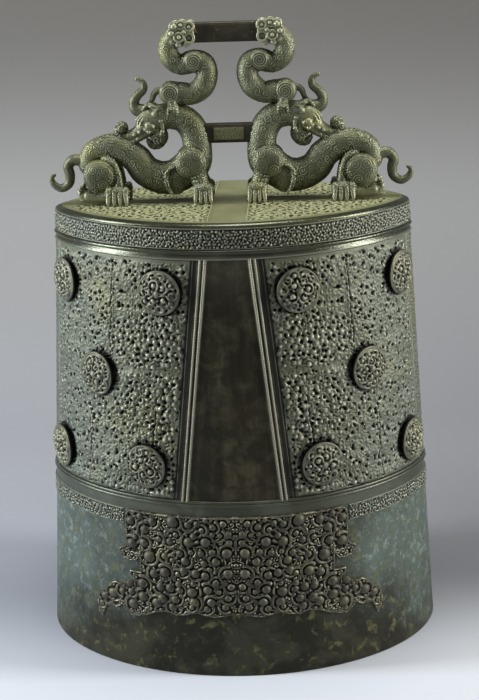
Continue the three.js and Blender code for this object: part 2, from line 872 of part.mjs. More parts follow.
export default bell;
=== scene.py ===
"""Bronze bell with a dragon handle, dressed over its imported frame.

Sizes are in millimetres, in the frame's own axes: +Z up, the mouth on z = 0, the long side along X
and the front face towards -Y. Meshes are written in metres.
"""

import logging
import math
from dataclasses import dataclass, field, replace
from enum import Enum

import bpy
import numpy as np
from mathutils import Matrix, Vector
from mathutils.kdtree import KDTree


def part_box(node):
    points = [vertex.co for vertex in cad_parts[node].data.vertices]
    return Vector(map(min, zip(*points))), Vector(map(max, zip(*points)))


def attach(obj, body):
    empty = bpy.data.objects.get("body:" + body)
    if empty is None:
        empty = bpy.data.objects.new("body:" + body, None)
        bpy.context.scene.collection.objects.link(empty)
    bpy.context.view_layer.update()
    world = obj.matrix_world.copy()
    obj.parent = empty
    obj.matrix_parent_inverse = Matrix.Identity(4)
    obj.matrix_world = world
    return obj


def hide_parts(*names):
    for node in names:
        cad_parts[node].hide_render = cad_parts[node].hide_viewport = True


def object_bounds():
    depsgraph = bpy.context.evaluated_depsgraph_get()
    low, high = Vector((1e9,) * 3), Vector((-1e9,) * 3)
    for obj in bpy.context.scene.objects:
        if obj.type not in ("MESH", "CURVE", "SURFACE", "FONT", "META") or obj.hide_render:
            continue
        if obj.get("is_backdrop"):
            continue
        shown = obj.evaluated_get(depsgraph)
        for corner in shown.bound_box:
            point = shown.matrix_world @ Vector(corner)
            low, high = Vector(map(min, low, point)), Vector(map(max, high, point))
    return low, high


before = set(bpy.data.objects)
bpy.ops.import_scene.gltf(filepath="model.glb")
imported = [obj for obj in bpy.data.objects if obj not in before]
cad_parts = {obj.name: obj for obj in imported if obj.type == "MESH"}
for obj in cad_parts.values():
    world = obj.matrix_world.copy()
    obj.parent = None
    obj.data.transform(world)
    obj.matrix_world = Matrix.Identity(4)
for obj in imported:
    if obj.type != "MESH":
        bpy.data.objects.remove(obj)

MM = 0.001
LEVEL = 0.5  # The height mask on level ground, between a pit's 0 and a crest's 1
FULL = 2 * math.pi
EDGE_SINK = -2.0  # How far a relief's outer rows reach into the wall behind them
LOG = logging.getLogger("bell")
ROOT = "root"
Points = np.ndarray
Place = tuple[float, float, float]
Colour = tuple[float, float, float]


class Half(Enum):
    """One of two opposite halves of the bell, by the sign of an axis."""

    @property
    def label(self) -> str:
        """Name of the half as the frame's nodes spell it."""
        return self.name.lower()


class Face(Half):
    """Front and back face, by the sign of Y."""

    FRONT = -1
    BACK = 1


class Side(Half):
    """Left and right side, by the sign of X."""

    LEFT = -1
    RIGHT = 1


# Meshes


def grid_quads(rows: int, columns: int, closed: bool = False) -> Points:
    """Quads of a grid of points stored row by row.

    Args:
        rows: Number of rows of points.
        columns: Number of points in a row.
        closed: Whether the last column joins the first.

    Returns:
        Array of quads, four point numbers each.
    """
    spans = columns if closed else columns - 1
    row = np.arange(rows - 1)[:, None] * columns
    left = np.arange(spans)[None, :]
    right = (left + 1) % columns
    corners = [row + left, row + right, row + columns + right, row + columns + left]
    return np.stack(corners, axis=-1).reshape(-1, 4)


def make_mesh(name: str, points: Points, faces: Points, relief: Points | None = None) -> bpy.types.Object:
    """Mesh object from points in millimetres and faces, smooth shaded, linked to the scene.

    Args:
        name: Name of the piece.
        points: Rows of x, y, z, or a grid of them.
        faces: Rows of point numbers, three or four to a row.
        relief: Height mask of each point; level ground where it is left out.

    Returns:
        The new object.
    """
    mesh = bpy.data.meshes.new(name)
    points = np.asarray(points, dtype=float).reshape(-1, 3)
    mesh.vertices.add(len(points))
    mesh.vertices.foreach_set("co", (points * MM).ravel())
    mesh.loops.add(faces.size)
    mesh.loops.foreach_set("vertex_index", faces.ravel().astype(np.int32))
    mesh.polygons.add(len(faces))
    mesh.polygons.foreach_set("loop_start", np.arange(0, faces.size, faces.shape[1], dtype=np.int32))
    mesh.update(calc_edges=True)
    mesh.validate()
    mesh.shade_smooth()
    set_relief(mesh, np.full(len(points), LEVEL) if relief is None else relief.ravel())
    piece = bpy.data.objects.new(name, mesh)
    bpy.context.scene.collection.objects.link(piece)
    return piece


def grid_mesh(
    name: str, points: Points, relief: Points | None = None, closed: bool = False, turned: bool = False
) -> bpy.types.Object:
    """Mesh object over a grid of points.

    Args:
        name: Name of the piece.
        points: Rows and columns of x, y, z in millimetres.
        relief: Height mask of each point.
        closed: Whether the last column joins the first.
        turned: Whether the faces look the other way.

    Returns:
        The new object.
    """
    quads = grid_quads(*points.shape[:2], closed=closed)
    return make_mesh(name, points, quads[:, ::-1] if turned else quads, relief)


def without_loose(points: Points, faces: Points, relief: Points) -> tuple[Points, Points, Points]:
    """The same surface without the points that no face uses.

    Args:
        points: Rows of x, y, z.
        faces: Rows of point numbers.
        relief: Height mask of each point.

    Returns:
        Points, faces and height mask that are left.
    """
    used, numbers = np.unique(faces, return_inverse=True)
    return points[used], numbers.reshape(faces.shape), relief[used]


def set_relief(mesh: bpy.types.Mesh, relief: Points) -> None:
    """Stores the height mask on the mesh's points."""
    layer = mesh.attributes.get("relief") or mesh.attributes.new("relief", "FLOAT", "POINT")
    layer.data.foreach_set("value", np.clip(relief, 0, 1).astype(np.float32))


def move_points(mesh: bpy.types.Mesh, points: Points) -> None:
    """Moves a mesh's points to new places in millimetres."""
    mesh.vertices.foreach_set("co", (points * MM).ravel())
    mesh.update()


def mesh_points(mesh: bpy.types.Mesh) -> Points:
    """Points of a mesh in millimetres.

    Args:
        mesh: The mesh.

    Returns:
        Rows of x, y, z.
    """
    flat = np.empty(3 * len(mesh.vertices))
    mesh.vertices.foreach_get("co", flat)
    return flat.reshape(-1, 3) / MM


def mesh_normals(mesh: bpy.types.Mesh) -> Points:
    """Outward directions at a mesh's points.

    Args:
        mesh: The mesh.

    Returns:
        Unit rows.
    """
    flat = np.empty(3 * len(mesh.vertices), dtype=np.float32)
    mesh.vertex_normals.foreach_get("vector", flat)
    return flat.reshape(-1, 3).astype(float)


def mesh_edges(mesh: bpy.types.Mesh) -> Points:
    """Point numbers at the ends of each edge.

    Args:
        mesh: The mesh.

    Returns:
        Rows of two.
    """
    flat = np.empty(2 * len(mesh.edges), dtype=np.int32)
    mesh.edges.foreach_get("vertices", flat)
    return flat.reshape(-1, 2)


def spread(values: Points, edges: Points, rounds: int) -> Points:
    """Averages values over neighbouring points.

    Args:
        values: One row for each point.
        edges: Point numbers at the ends of each edge.
        rounds: How often to average.

    Returns:
        The averaged values.
    """
    values = np.asarray(values, dtype=float)
    flat = values.reshape(len(values), -1)
    count = np.bincount(edges.ravel(), minlength=len(values)).astype(float)[:, None]
    for _ in range(rounds):
        total = np.zeros_like(flat)
        for column in range(flat.shape[1]):
            for own, other in ((0, 1), (1, 0)):
                shares = flat[edges[:, other], column]
                total[:, column] += np.bincount(edges[:, own], weights=shares, minlength=len(flat))
        flat = (flat + total) / (1 + count)
    return flat.reshape(values.shape)


def crease_mask(mesh: bpy.types.Mesh, rounds: int, strength: float) -> Points:
    """Mask of the mesh's own form: low in creases, high on edges.

    Args:
        mesh: Mesh to read.
        rounds: How far the mask looks round a point, in averaging rounds.
        strength: Change of the mask for each millimetre out of the averaged surface.

    Returns:
        One value for each point, about 0.5 on flat ground.
    """
    points = mesh_points(mesh)
    away = points - spread(points, mesh_edges(mesh), rounds)
    return LEVEL + strength * np.einsum("ij,ij->i", away, mesh_normals(mesh))


# Relief, as heights on a flat map in millimetres


@dataclass
class ReliefMap:
    """Heights on a flat map of width by height, both in millimetres."""

    width: float
    height: float
    pitch: float
    heights: Points = field(init=False)

    def __post_init__(self) -> None:
        """Lays out an even map at height 0."""
        self.columns = int(math.ceil(self.width / self.pitch)) + 1
        self.rows = int(math.ceil(self.height / self.pitch)) + 1
        self.across = np.linspace(0, self.width, self.columns)
        self.up = np.linspace(0, self.height, self.rows)
        self.heights = np.zeros((self.rows, self.columns))

    def stamp(
        self, centres: Points, radii: Points | float, tops: Points | float, fullness: float = 0.5
    ) -> None:
        """Raises round bumps, or sinks round pits where a top is negative.

        Args:
            centres: Rows of across and up.
            radii: Radius of each bump, or one for all.
            tops: Height of each bump above the map's zero, or one; a pit's depth is added to what is there.
            fullness: 0.5 is a ball's outline, 1 a parabola's.
        """
        centres = np.atleast_2d(centres)
        radii, tops = (np.broadcast_to(np.asarray(v, float), len(centres)) for v in (radii, tops))
        step_x, step_y = self.across[1], self.up[1]
        column = np.rint(centres[:, 0] / step_x).astype(int)
        row = np.rint(centres[:, 1] / step_y).astype(int)
        reach = int(math.ceil(radii.max() / min(step_x, step_y)))
        for down in range(-reach, reach + 1):
            for along in range(-reach, reach + 1):
                r, c = row + down, column + along
                near = (r >= 0) & (r < self.rows) & (c >= 0) & (c < self.columns)
                away = np.hypot(c * step_x - centres[:, 0], r * step_y - centres[:, 1]) / radii
                near &= away < 1
                if not near.any():
                    continue
                bump = tops[near] * (1 - away[near] ** 2) ** fullness
                place = (r[near], c[near])
                raised = bump > 0
                np.maximum.at(self.heights, (place[0][raised], place[1][raised]), bump[raised])
                np.add.at(self.heights, (place[0][~raised], place[1][~raised]), bump[~raised])

    def thread(self, route: Points, half_width: float | Points, top: float | Points) -> None:
        """Raises a rounded ridge along a route of across and up."""
        self.stamp(route, half_width, top)

    def blurred(self, radius: float) -> Points:
        """Heights averaged over a square window.

        Args:
            radius: Half the window, in millimetres.

        Returns:
            Map of averaged heights.
        """
        reach = max(1, int(round(radius / self.pitch)))
        result = self.heights
        for axis in (0, 1):
            pads = [(reach + 1, reach) if a == axis else (0, 0) for a in (0, 1)]
            total = np.cumsum(np.pad(result, pads, mode="edge"), axis=axis)
            span = 2 * reach + 1
            high = np.take(total, range(span, total.shape[axis]), axis=axis)
            low = np.take(total, range(0, total.shape[axis] - span), axis=axis)
            result = (high - low) / span
        return result

    def mask(self, radius: float, strength: float) -> Points:
        """Height mask: 0.5 on level ground, lower in pits, higher on crests."""
        return np.clip(LEVEL + strength * (self.heights - self.blurred(radius)), 0, 1)

    def sample(self, values: Points, across: Points, up: Points) -> Points:
        """Values of a map between its points.

        Args:
            values: Map with this map's rows and columns.
            across: Places across.
            up: Places up.

        Returns:
            Values at the places.
        """
        c = np.clip(across / self.across[1], 0, self.columns - 1.001)
        r = np.clip(up / self.up[1], 0, self.rows - 1.001)
        c0, r0 = c.astype(int), r.astype(int)
        fc, fr = c - c0, r - r0
        low = values[r0, c0] * (1 - fc) + values[r0, c0 + 1] * fc
        high = values[r0 + 1, c0] * (1 - fc) + values[r0 + 1, c0 + 1] * fc
        return low * (1 - fr) + high * fr


def scroll_route(centre: Points, radius: float, turns: float, start: float, hand: int) -> Points:
    """Points of a scroll that winds in towards its centre.

    Args:
        centre: Across and up of the centre.
        radius: Outer radius.
        turns: Number of turns.
        start: Angle of the outer end, in radians.
        hand: 1 or -1, the way it winds.

    Returns:
        Rows of across and up.
    """
    count = max(8, int(turns * radius * 4))
    share = np.linspace(0, 1, count)
    angle = start + hand * FULL * turns * share
    reach = radius * (1 - 0.82 * share)
    return np.column_stack([centre[0] + reach * np.cos(angle), centre[1] + reach * np.sin(angle)])


def scattered(width: float, height: float, spacing: float, jitter: float, rng: np.random.Generator) -> Points:
    """Points on staggered rows, each moved a little from its place.

    Args:
        width: Width of the ground.
        height: Height of the ground.
        spacing: Distance between neighbours.
        jitter: How far a point may move, as a share of the spacing.
        rng: Source of the moves.

    Returns:
        Rows of across and up.
    """
    rise = spacing * math.sqrt(3) / 2
    rows = int(height / rise) + 2
    columns = int(width / spacing) + 2
    up, across = np.meshgrid(np.arange(rows) * rise, np.arange(columns) * spacing, indexing="ij")
    across = across + (np.arange(rows)[:, None] % 2) * spacing / 2
    points = np.column_stack([across.ravel(), up.ravel()])
    points += rng.uniform(-jitter, jitter, points.shape) * spacing
    inside = (points[:, 0] > 0) & (points[:, 0] < width) & (points[:, 1] > 0) & (points[:, 1] < height)
    return points[inside]


def smooth_step(low: float, high: float, values: Points) -> Points:
    """0 below low, 1 above high, an even slope with soft ends between them."""
    share = np.clip((values - low) / (high - low), 0, 1)
    return share * share * (3 - 2 * share)


def bump_at(values: Points, middle: float, half: float) -> Points:
    """1 at the middle, falling straight to 0 at half a width from it."""
    return np.clip(1 - np.abs(values - middle) / half, 0, 1)


# Finishes


Feed = float | tuple[float, ...] | bpy.types.NodeSocket


@dataclass(frozen=True)
class Wiring:
    """Adds nodes to one tree; each input is fed by a value or by another node's output."""

    tree: bpy.types.NodeTree

    @classmethod
    def group(cls, name: str, inputs: dict[str, float | None], outputs: tuple[str, ...]) -> "Wiring":
        """New node group with its sockets.

        Args:
            name: Name of the group.
            inputs: Each input's first value; None stands for a place.
            outputs: Names of the outputs.

        Returns:
            Wiring of the group.
        """
        tree = bpy.data.node_groups.new(name, "ShaderNodeTree")
        for label, value in inputs.items():
            kind = "NodeSocketVector" if value is None else "NodeSocketFloat"
            socket = tree.interface.new_socket(name=label, in_out="INPUT", socket_type=kind)
            if value is not None:
                socket.default_value = value
        for label in outputs:
            tree.interface.new_socket(name=label, in_out="OUTPUT", socket_type="NodeSocketFloat")
        return cls(tree)

    def feed(self, node: bpy.types.Node, feeds: dict[str | int, Feed]) -> None:
        """Feeds a node's inputs, by name or number.

        Args:
            node: The node.
            feeds: Socket or value for each input.
        """
        for key, feed in feeds.items():
            if isinstance(feed, bpy.types.NodeSocket):
                self.tree.links.new(feed, node.inputs[key])
            else:
                node.inputs[key].default_value = feed

    def given(self) -> bpy.types.NodeOutputs:
        """What a group is given."""
        return self.tree.nodes.new("NodeGroupInput").outputs

    def give(self, feeds: dict[str | int, Feed]) -> bpy.types.NodeTree:
        """Ends a group with what it puts out."""
        self.feed(self.tree.nodes.new("NodeGroupOutput"), feeds)
        return self.tree

    def use(self, group: bpy.types.NodeTree, feeds: dict[str | int, Feed]) -> bpy.types.NodeOutputs:
        """Places a shared effect with its own values.

        Args:
            group: The effect.
            feeds: Socket or value for each input.

        Returns:
            What the effect puts out.
        """
        node = self.tree.nodes.new("ShaderNodeGroup")
        node.node_tree = group
        self.feed(node, feeds)
        return node.outputs

    def place(self) -> bpy.types.NodeSocket:
        """Place of a point in its object, in metres."""
        return self.tree.nodes.new("ShaderNodeTexCoord").outputs["Object"]

    def maths(self, operation: str, *feeds: Feed) -> bpy.types.NodeSocket:
        """Result of a calculation.

        Args:
            operation: Name of the calculation.
            feeds: Its sockets or values, in order.

        Returns:
            The result.
        """
        node = self.tree.nodes.new("ShaderNodeMath")
        node.operation = operation
        self.feed(node, dict(enumerate(feeds)))
        return node.outputs["Value"]

    def noise(
        self, place: Feed, scale: Feed, detail: float, roughness: float, distortion: float = 0.0
    ) -> bpy.types.NodeSocket:
        """Cloudy noise.

        Args:
            place: Where it is read.
            scale: Its scale.
            detail: Its detail.
            roughness: Weight of the detail.
            distortion: How far it is drawn about.

        Returns:
            Value from 0 to 1.
        """
        node = self.tree.nodes.new("ShaderNodeTexNoise")
        feeds = {"Vector": place, "Scale": scale, "Detail": detail, "Roughness": roughness}
        self.feed(node, feeds | {"Distortion": distortion})
        return node.outputs["Fac"]

    def span(
        self, value: Feed, low: Feed, high: Feed, first: float = 0.0, last: float = 1.0, soft: bool = False
    ) -> bpy.types.NodeSocket:
        """Carries a value from one span to another.

        Args:
            value: The value.
            low: Where the first span starts.
            high: Where it ends.
            first: Result at low and below it.
            last: Result at high and above it.
            soft: Whether the ends of the slope are soft.

        Returns:
            The result.
        """
        node = self.tree.nodes.new("ShaderNodeMapRange")
        if soft:
            node.interpolation_type = "SMOOTHSTEP"
        self.feed(node, {"Value": value, "From Min": low, "From Max": high, "To Min": first, "To Max": last})
        return node.outputs["Result"]

    def blend(self, under: Colour | bpy.types.NodeSocket, over: Colour, weight: Feed) -> bpy.types.NodeSocket:
        """Lays one colour over another by a mask.

        Args:
            under: Colour below.
            over: Colour above.
            weight: The mask.

        Returns:
            The mixed colour.
        """
        node = self.tree.nodes.new("ShaderNodeMix")
        node.data_type = "RGBA"
        base = (*under, 1.0) if isinstance(under, tuple) else under
        self.feed(node, {"A": base, "B": (*over, 1.0), "Factor": weight})
        return node.outputs["Result"]


@dataclass(frozen=True)
class Effects:
    """Effects shared by the finishes, each a shader node group built once."""

    patches: bpy.types.NodeTree
    grain: bpy.types.NodeTree
    wear: bpy.types.NodeTree
    streaks: bpy.types.NodeTree
    flanks: bpy.types.NodeTree

    @classmethod
    def build(cls) -> "Effects":
        """Builds every group."""
        patches, grain, wear = cls.patina_patches(), cls.cast_grain(), cls.relief_wear()
        return cls(patches, grain, wear, cls.upright_streaks(), cls.flank_patina())

    @staticmethod
    def patina_patches() -> bpy.types.NodeTree:
        """Cloudy patches of patina.

        Returns:
            Group that puts out a mask between two thresholds.
        """
        inputs = {"Place": None, "Scale": 12.0, "Low": 0.45, "High": 0.65}
        group = Wiring.group("patina_patches", inputs, ("Mask",))
        given = group.given()
        cloud = group.noise(given["Place"], given["Scale"], detail=7.0, roughness=0.62, distortion=0.4)
        return group.give({"Mask": group.span(cloud, given["Low"], given["High"], soft=True)})

    @staticmethod
    def cast_grain() -> bpy.types.NodeTree:
        """Cast skin: fine grain with small pits.

        Returns:
            Group that puts out a height.
        """
        group = Wiring.group("cast_grain", {"Place": None, "Scale": 300.0, "Pits": 0.5}, ("Height",))
        given = group.given()
        grain = group.noise(given["Place"], given["Scale"], detail=5.0, roughness=0.7)
        cells = group.tree.nodes.new("ShaderNodeTexVoronoi")
        group.feed(cells, {"Vector": given["Place"], "Scale": given["Scale"]})
        pits = group.maths("MULTIPLY", group.span(cells.outputs["Distance"], 0.0, 0.35), given["Pits"])
        return group.give({"Height": group.maths("ADD", pits, grain)})

    @staticmethod
    def relief_wear() -> bpy.types.NodeTree:
        """Dirt and painted shade in the pits, creases and gaps, and worn metal with painted highlight on the
        crests, from the pieces' height mask.

        Returns:
            Group that puts out a mask of each.
        """
        inputs = {"Relief": 0.5, "Pit Edge": 0.42, "Crest Edge": 0.62}
        group = Wiring.group("relief_wear", inputs, ("Grime", "Rubbed"))
        given = group.given()
        grime = group.span(given["Relief"], 0.25, given["Pit Edge"], first=1.0, last=0.0, soft=True)
        rubbed = group.span(given["Relief"], given["Crest Edge"], 0.95, soft=True)
        return group.give({"Grime": grime, "Rubbed": rubbed})

    @staticmethod
    def upright_streaks() -> bpy.types.NodeTree:
        """Upright streaks.

        Returns:
            Group that puts out a mask.
        """
        group = Wiring.group("upright_streaks", {"Place": None, "Scale": 40.0}, ("Mask",))
        given = group.given()
        drawn = group.tree.nodes.new("ShaderNodeVectorMath")
        drawn.operation = "MULTIPLY"
        group.feed(drawn, {0: given["Place"], 1: (1.0, 1.0, 0.12)})
        streaks = group.noise(drawn.outputs["Vector"], given["Scale"], detail=6.0, roughness=0.7)
        return group.give({"Mask": group.span(streaks, 0.4, 0.65)})

    @staticmethod
    def flank_patina() -> bpy.types.NodeTree:
        """Cloudy patina with painted side light, that grows from the bell's middle towards its two ends and
        fades near the mouth.

        Returns:
            Group that puts out a mask, and one of the fine flecks in it.
        """
        group = Wiring.group("flank_patina", {"Place": None}, ("Mask", "Flecks"))
        place = group.given()["Place"]
        split = group.tree.nodes.new("ShaderNodeSeparateXYZ")
        group.feed(split, {"Vector": place})
        cloud = group.noise(place, 9.0, detail=9.0, roughness=0.72)
        outwards = group.maths("MULTIPLY_ADD", cloud, 0.34, group.maths("ABSOLUTE", split.outputs["X"]))
        faded = group.span(split.outputs["Z"], 0.0, 0.14, first=-0.16, last=0.0)
        mask = group.span(group.maths("ADD", faded, outwards), 0.26, 0.46, soft=True)
        fine = group.span(group.noise(place, 85.0, detail=9.0, roughness=0.8), 0.52, 0.64)
        return group.give({"Mask": mask, "Flecks": group.maths("MULTIPLY", fine, mask)})


@dataclass(frozen=True)
class BronzeFinish:
    """One finish of patinated bronze: colours, patches, dirt with painted shade, worn crests with painted
    highlight, and cast skin.
    """

    name: str
    ground: Colour
    patch: Colour
    patch_scale: float
    patch_low: float
    patch_high: float
    grime: Colour
    rubbed: Colour
    tint: Colour
    # Colour towards both ends of the bell: patina together with painted side light.
    flank: Colour | None = None
    flecks: Colour = (0.24, 0.28, 0.27)
    tint_scale: float = 5.0
    tint_low: float = 0.5
    tint_high: float = 0.75
    streaks: float = 0.0
    streak_scale: float = 40.0
    metallic: float = 0.45
    specular: float = 0.4
    roughness: float = 0.5
    rubbed_roughness: float = 0.34
    pit_edge: float = 0.42
    crest_edge: float = 0.6
    grain_scale: float = 320.0
    grain_pits: float = 0.5
    grain_depth: float = 0.25

    def build(self, effects: Effects) -> bpy.types.Material:
        """Makes the material.

        Args:
            effects: Shared effects.

        Returns:
            The material.
        """
        material = bpy.data.materials.new(self.name)
        material.use_nodes = True
        wiring = Wiring(material.node_tree)
        place = wiring.place()
        relief = wiring.tree.nodes.new("ShaderNodeAttribute")
        relief.attribute_name = "relief"
        edges = {"Pit Edge": self.pit_edge, "Crest Edge": self.crest_edge}
        wear = wiring.use(effects.wear, {"Relief": relief.outputs["Fac"], **edges})
        grain = {"Place": place, "Scale": self.grain_scale, "Pits": self.grain_pits}
        bump = wiring.tree.nodes.new("ShaderNodeBump")
        height = wiring.use(effects.grain, grain)["Height"]
        wiring.feed(bump, {"Strength": 1.0, "Distance": self.grain_depth * MM, "Height": height})
        wiring.feed(wiring.tree.nodes["Principled BSDF"], {
            "Base Color": self.colour(wiring, effects, place, wear),
            "Roughness": wiring.span(wear["Rubbed"], 0.0, 1.0, self.roughness, self.rubbed_roughness),
            "Metallic": self.metallic,
            "Specular IOR Level": self.specular,
            "Normal": bump.outputs["Normal"],
        })
        return material

    def colour(
        self, wiring: Wiring, effects: Effects, place: bpy.types.NodeSocket, wear: bpy.types.NodeOutputs
    ) -> bpy.types.NodeSocket:
        """Lays the finish's colours over one another.

        Args:
            wiring: Wiring of the material.
            effects: Shared effects.
            place: Place of a point in its object.
            wear: Masks of dirt with painted shade, and of worn metal with painted highlight.

        Returns:
            The colour.
        """
        patches = {"Place": place, "Scale": self.patch_scale, "Low": self.patch_low, "High": self.patch_high}
        tints = {"Place": place, "Scale": self.tint_scale, "Low": self.tint_low, "High": self.tint_high}
        colour = wiring.blend(self.ground, self.patch, wiring.use(effects.patches, patches)["Mask"])
        if self.flank is not None:
            flanks = wiring.use(effects.flanks, {"Place": place})
            colour = wiring.blend(colour, self.flank, flanks["Mask"])
            colour = wiring.blend(colour, self.flecks, flanks["Flecks"])
        colour = wiring.blend(colour, self.tint, wiring.use(effects.patches, tints)["Mask"])
        if self.streaks > 0:
            streaks = wiring.use(effects.streaks, {"Place": place, "Scale": self.streak_scale})
            colour = wiring.blend(colour, self.grime, wiring.maths("MULTIPLY", streaks["Mask"], self.streaks))
        # Worn metal with painted highlight on the crests, then dirt with painted shade in the pits and
        # creases.
        colour = wiring.blend(colour, self.rubbed, wear["Rubbed"])
        return wiring.blend(colour, self.grime, wear["Grime"])


# In each finish the dirt-and-shade colour paints dirt and shade in pits, creases and gaps, and the
# worn-and-highlight colour paints worn metal and highlights on crests.
WALL = BronzeFinish(
    "wall_bronze", ground=(0.052, 0.054, 0.034), patch=(0.086, 0.092, 0.064),
    patch_scale=18.0, patch_low=0.42,
    patch_high=0.68, grime=(0.014, 0.014, 0.009), rubbed=(0.3, 0.3, 0.23), tint=(0.11, 0.112, 0.055),
    flank=(0.066, 0.074, 0.056), flecks=(0.09, 0.1, 0.078), roughness=0.35, specular=0.5, metallic=0.5,
)
SHOULDER = replace(WALL, name="shoulder_bronze", roughness=0.24, metallic=0.7, specular=0.6)
FIELD = BronzeFinish(
    "field_bronze", ground=(0.108, 0.111, 0.072), patch=(0.15, 0.157, 0.113), patch_scale=16.0, patch_low=0.4,
    patch_high=0.66, grime=(0.004, 0.004, 0.0025), rubbed=(0.3, 0.305, 0.235), tint=(0.145, 0.145, 0.075),
    flank=(0.11, 0.123, 0.1), flecks=(0.16, 0.176, 0.148), pit_edge=0.44, crest_edge=0.62, grain_scale=420.0,
)
SKIRT = BronzeFinish(
    "skirt_bronze", ground=(0.015, 0.0145, 0.008), patch=(0.042, 0.042, 0.025),
    patch_scale=15.0, patch_low=0.42,
    patch_high=0.62, grime=(0.02, 0.018, 0.01), rubbed=(0.22, 0.22, 0.17), tint=(0.115, 0.112, 0.044),
    tint_scale=68.0, tint_low=0.54, tint_high=0.7, flank=(0.092, 0.12, 0.107), flecks=(0.25, 0.3, 0.28),
    streaks=0.12, grain_scale=160.0, grain_depth=0.3, metallic=0.3, specular=0.25,
)
PANEL = BronzeFinish(
    "panel_bronze", ground=(0.027, 0.024, 0.012), patch=(0.074, 0.066, 0.036),
    patch_scale=34.0, patch_low=0.42,
    patch_high=0.64, grime=(0.01, 0.009, 0.006), rubbed=(0.3, 0.29, 0.22), tint=(0.062, 0.042, 0.022),
    streaks=0.75, metallic=0.35, specular=0.22, grain_scale=260.0,
)
STRIKE = BronzeFinish(
    "strike_bronze", ground=(0.06, 0.056, 0.037), patch=(0.095, 0.088, 0.054),
    patch_scale=22.0, patch_low=0.45,
    patch_high=0.7, grime=(0.001, 0.001, 0.0008), rubbed=(0.4, 0.375, 0.25), tint=(0.14, 0.14, 0.055),
    tint_scale=22.0, tint_low=0.6, tint_high=0.75, metallic=0.3,
    rubbed_roughness=0.42, pit_edge=0.57, crest_edge=0.68,
)
BOSS = BronzeFinish(
    "boss_bronze", ground=(0.086, 0.087, 0.061), patch=(0.14, 0.143, 0.102), patch_scale=30.0, patch_low=0.42,
    patch_high=0.66, grime=(0.002, 0.002, 0.0015), rubbed=(0.3, 0.3, 0.22), tint=(0.14, 0.135, 0.065),
    tint_scale=20.0, pit_edge=0.49, crest_edge=0.6, rubbed_roughness=0.5,
)
CROWN = BronzeFinish(
    "crown_bronze", ground=(0.17, 0.176, 0.084), patch=(0.235, 0.242, 0.13), patch_scale=14.0, patch_low=0.4,
    patch_high=0.7, grime=(0.005, 0.005, 0.002), rubbed=(0.46, 0.465, 0.27), tint=(0.13, 0.136, 0.06),
    metallic=0.3, roughness=0.56, pit_edge=0.48, crest_edge=0.6,
)
DRAGON = BronzeFinish(
    "dragon_bronze", ground=(0.088, 0.095, 0.052), patch=(0.155, 0.165, 0.104),
    patch_scale=24.0, patch_low=0.42,
    patch_high=0.68, grime=(0.006, 0.006, 0.0035), rubbed=(0.42, 0.42, 0.28), tint=(0.19, 0.19, 0.08),
    tint_scale=13.0, tint_low=0.5, tint_high=0.68, pit_edge=0.44, crest_edge=0.57, grain_scale=420.0,
    grain_depth=0.32, roughness=0.46,
)
BAR = BronzeFinish(
    "bar_bronze", ground=(0.034, 0.03, 0.02), patch=(0.062, 0.056, 0.036), patch_scale=26.0, patch_low=0.42,
    patch_high=0.7, grime=(0.014, 0.012, 0.008), rubbed=(0.2, 0.18, 0.13), tint=(0.24, 0.16, 0.09),
    tint_scale=110.0, tint_low=0.62, tint_high=0.68, metallic=0.4, specular=0.25, roughness=0.46,
)
INSIDE = BronzeFinish(
    "inside_bronze", ground=(0.07, 0.072, 0.052), patch=(0.105, 0.115, 0.09), patch_scale=9.0, patch_low=0.4,
    patch_high=0.7, grime=(0.02, 0.02, 0.014), rubbed=(0.2, 0.2, 0.16), tint=(0.09, 0.075, 0.045),
    metallic=0.3, roughness=0.65, grain_scale=120.0, grain_depth=0.5,
)
FINISHES = (WALL, SHOULDER, FIELD, SKIRT, PANEL, STRIKE, BOSS, CROWN, DRAGON, BAR, INSIDE)


class Slot(Enum):
    """Material slots of the record."""

    BODY = "body_bronze"
    PANEL = "panel_bronze"
    BOSS = "boss_bronze"
    DRAGON = "dragon_bronze"
    BAR = "bar_bronze"


class Workshop:
    """Dresses finished meshes: material, body, replaced nodes and a line in the log."""

    def __init__(self) -> None:
        """Builds the shared effects and every finish."""
        effects = Effects.build()
        self.materials = {finish.name: finish.build(effects) for finish in FINISHES}
        self.count = 0

    def place(self, piece: bpy.types.Object, finish: BronzeFinish, slot: Slot, *nodes: str) -> None:
        """Gives a piece its finish and ties it to the frame.

        Args:
            piece: The new object.
            finish: Its finish.
            slot: Not used.
            nodes: Frame nodes that the piece stands for.
        """
        piece.data.materials.append(self.materials[finish.name])
        if nodes:
            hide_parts(*nodes)
        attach(piece, ROOT)
        self.count += 1
        LOG.info("%s: %d faces", piece.name, len(piece.data.polygons))


# The wall's plan


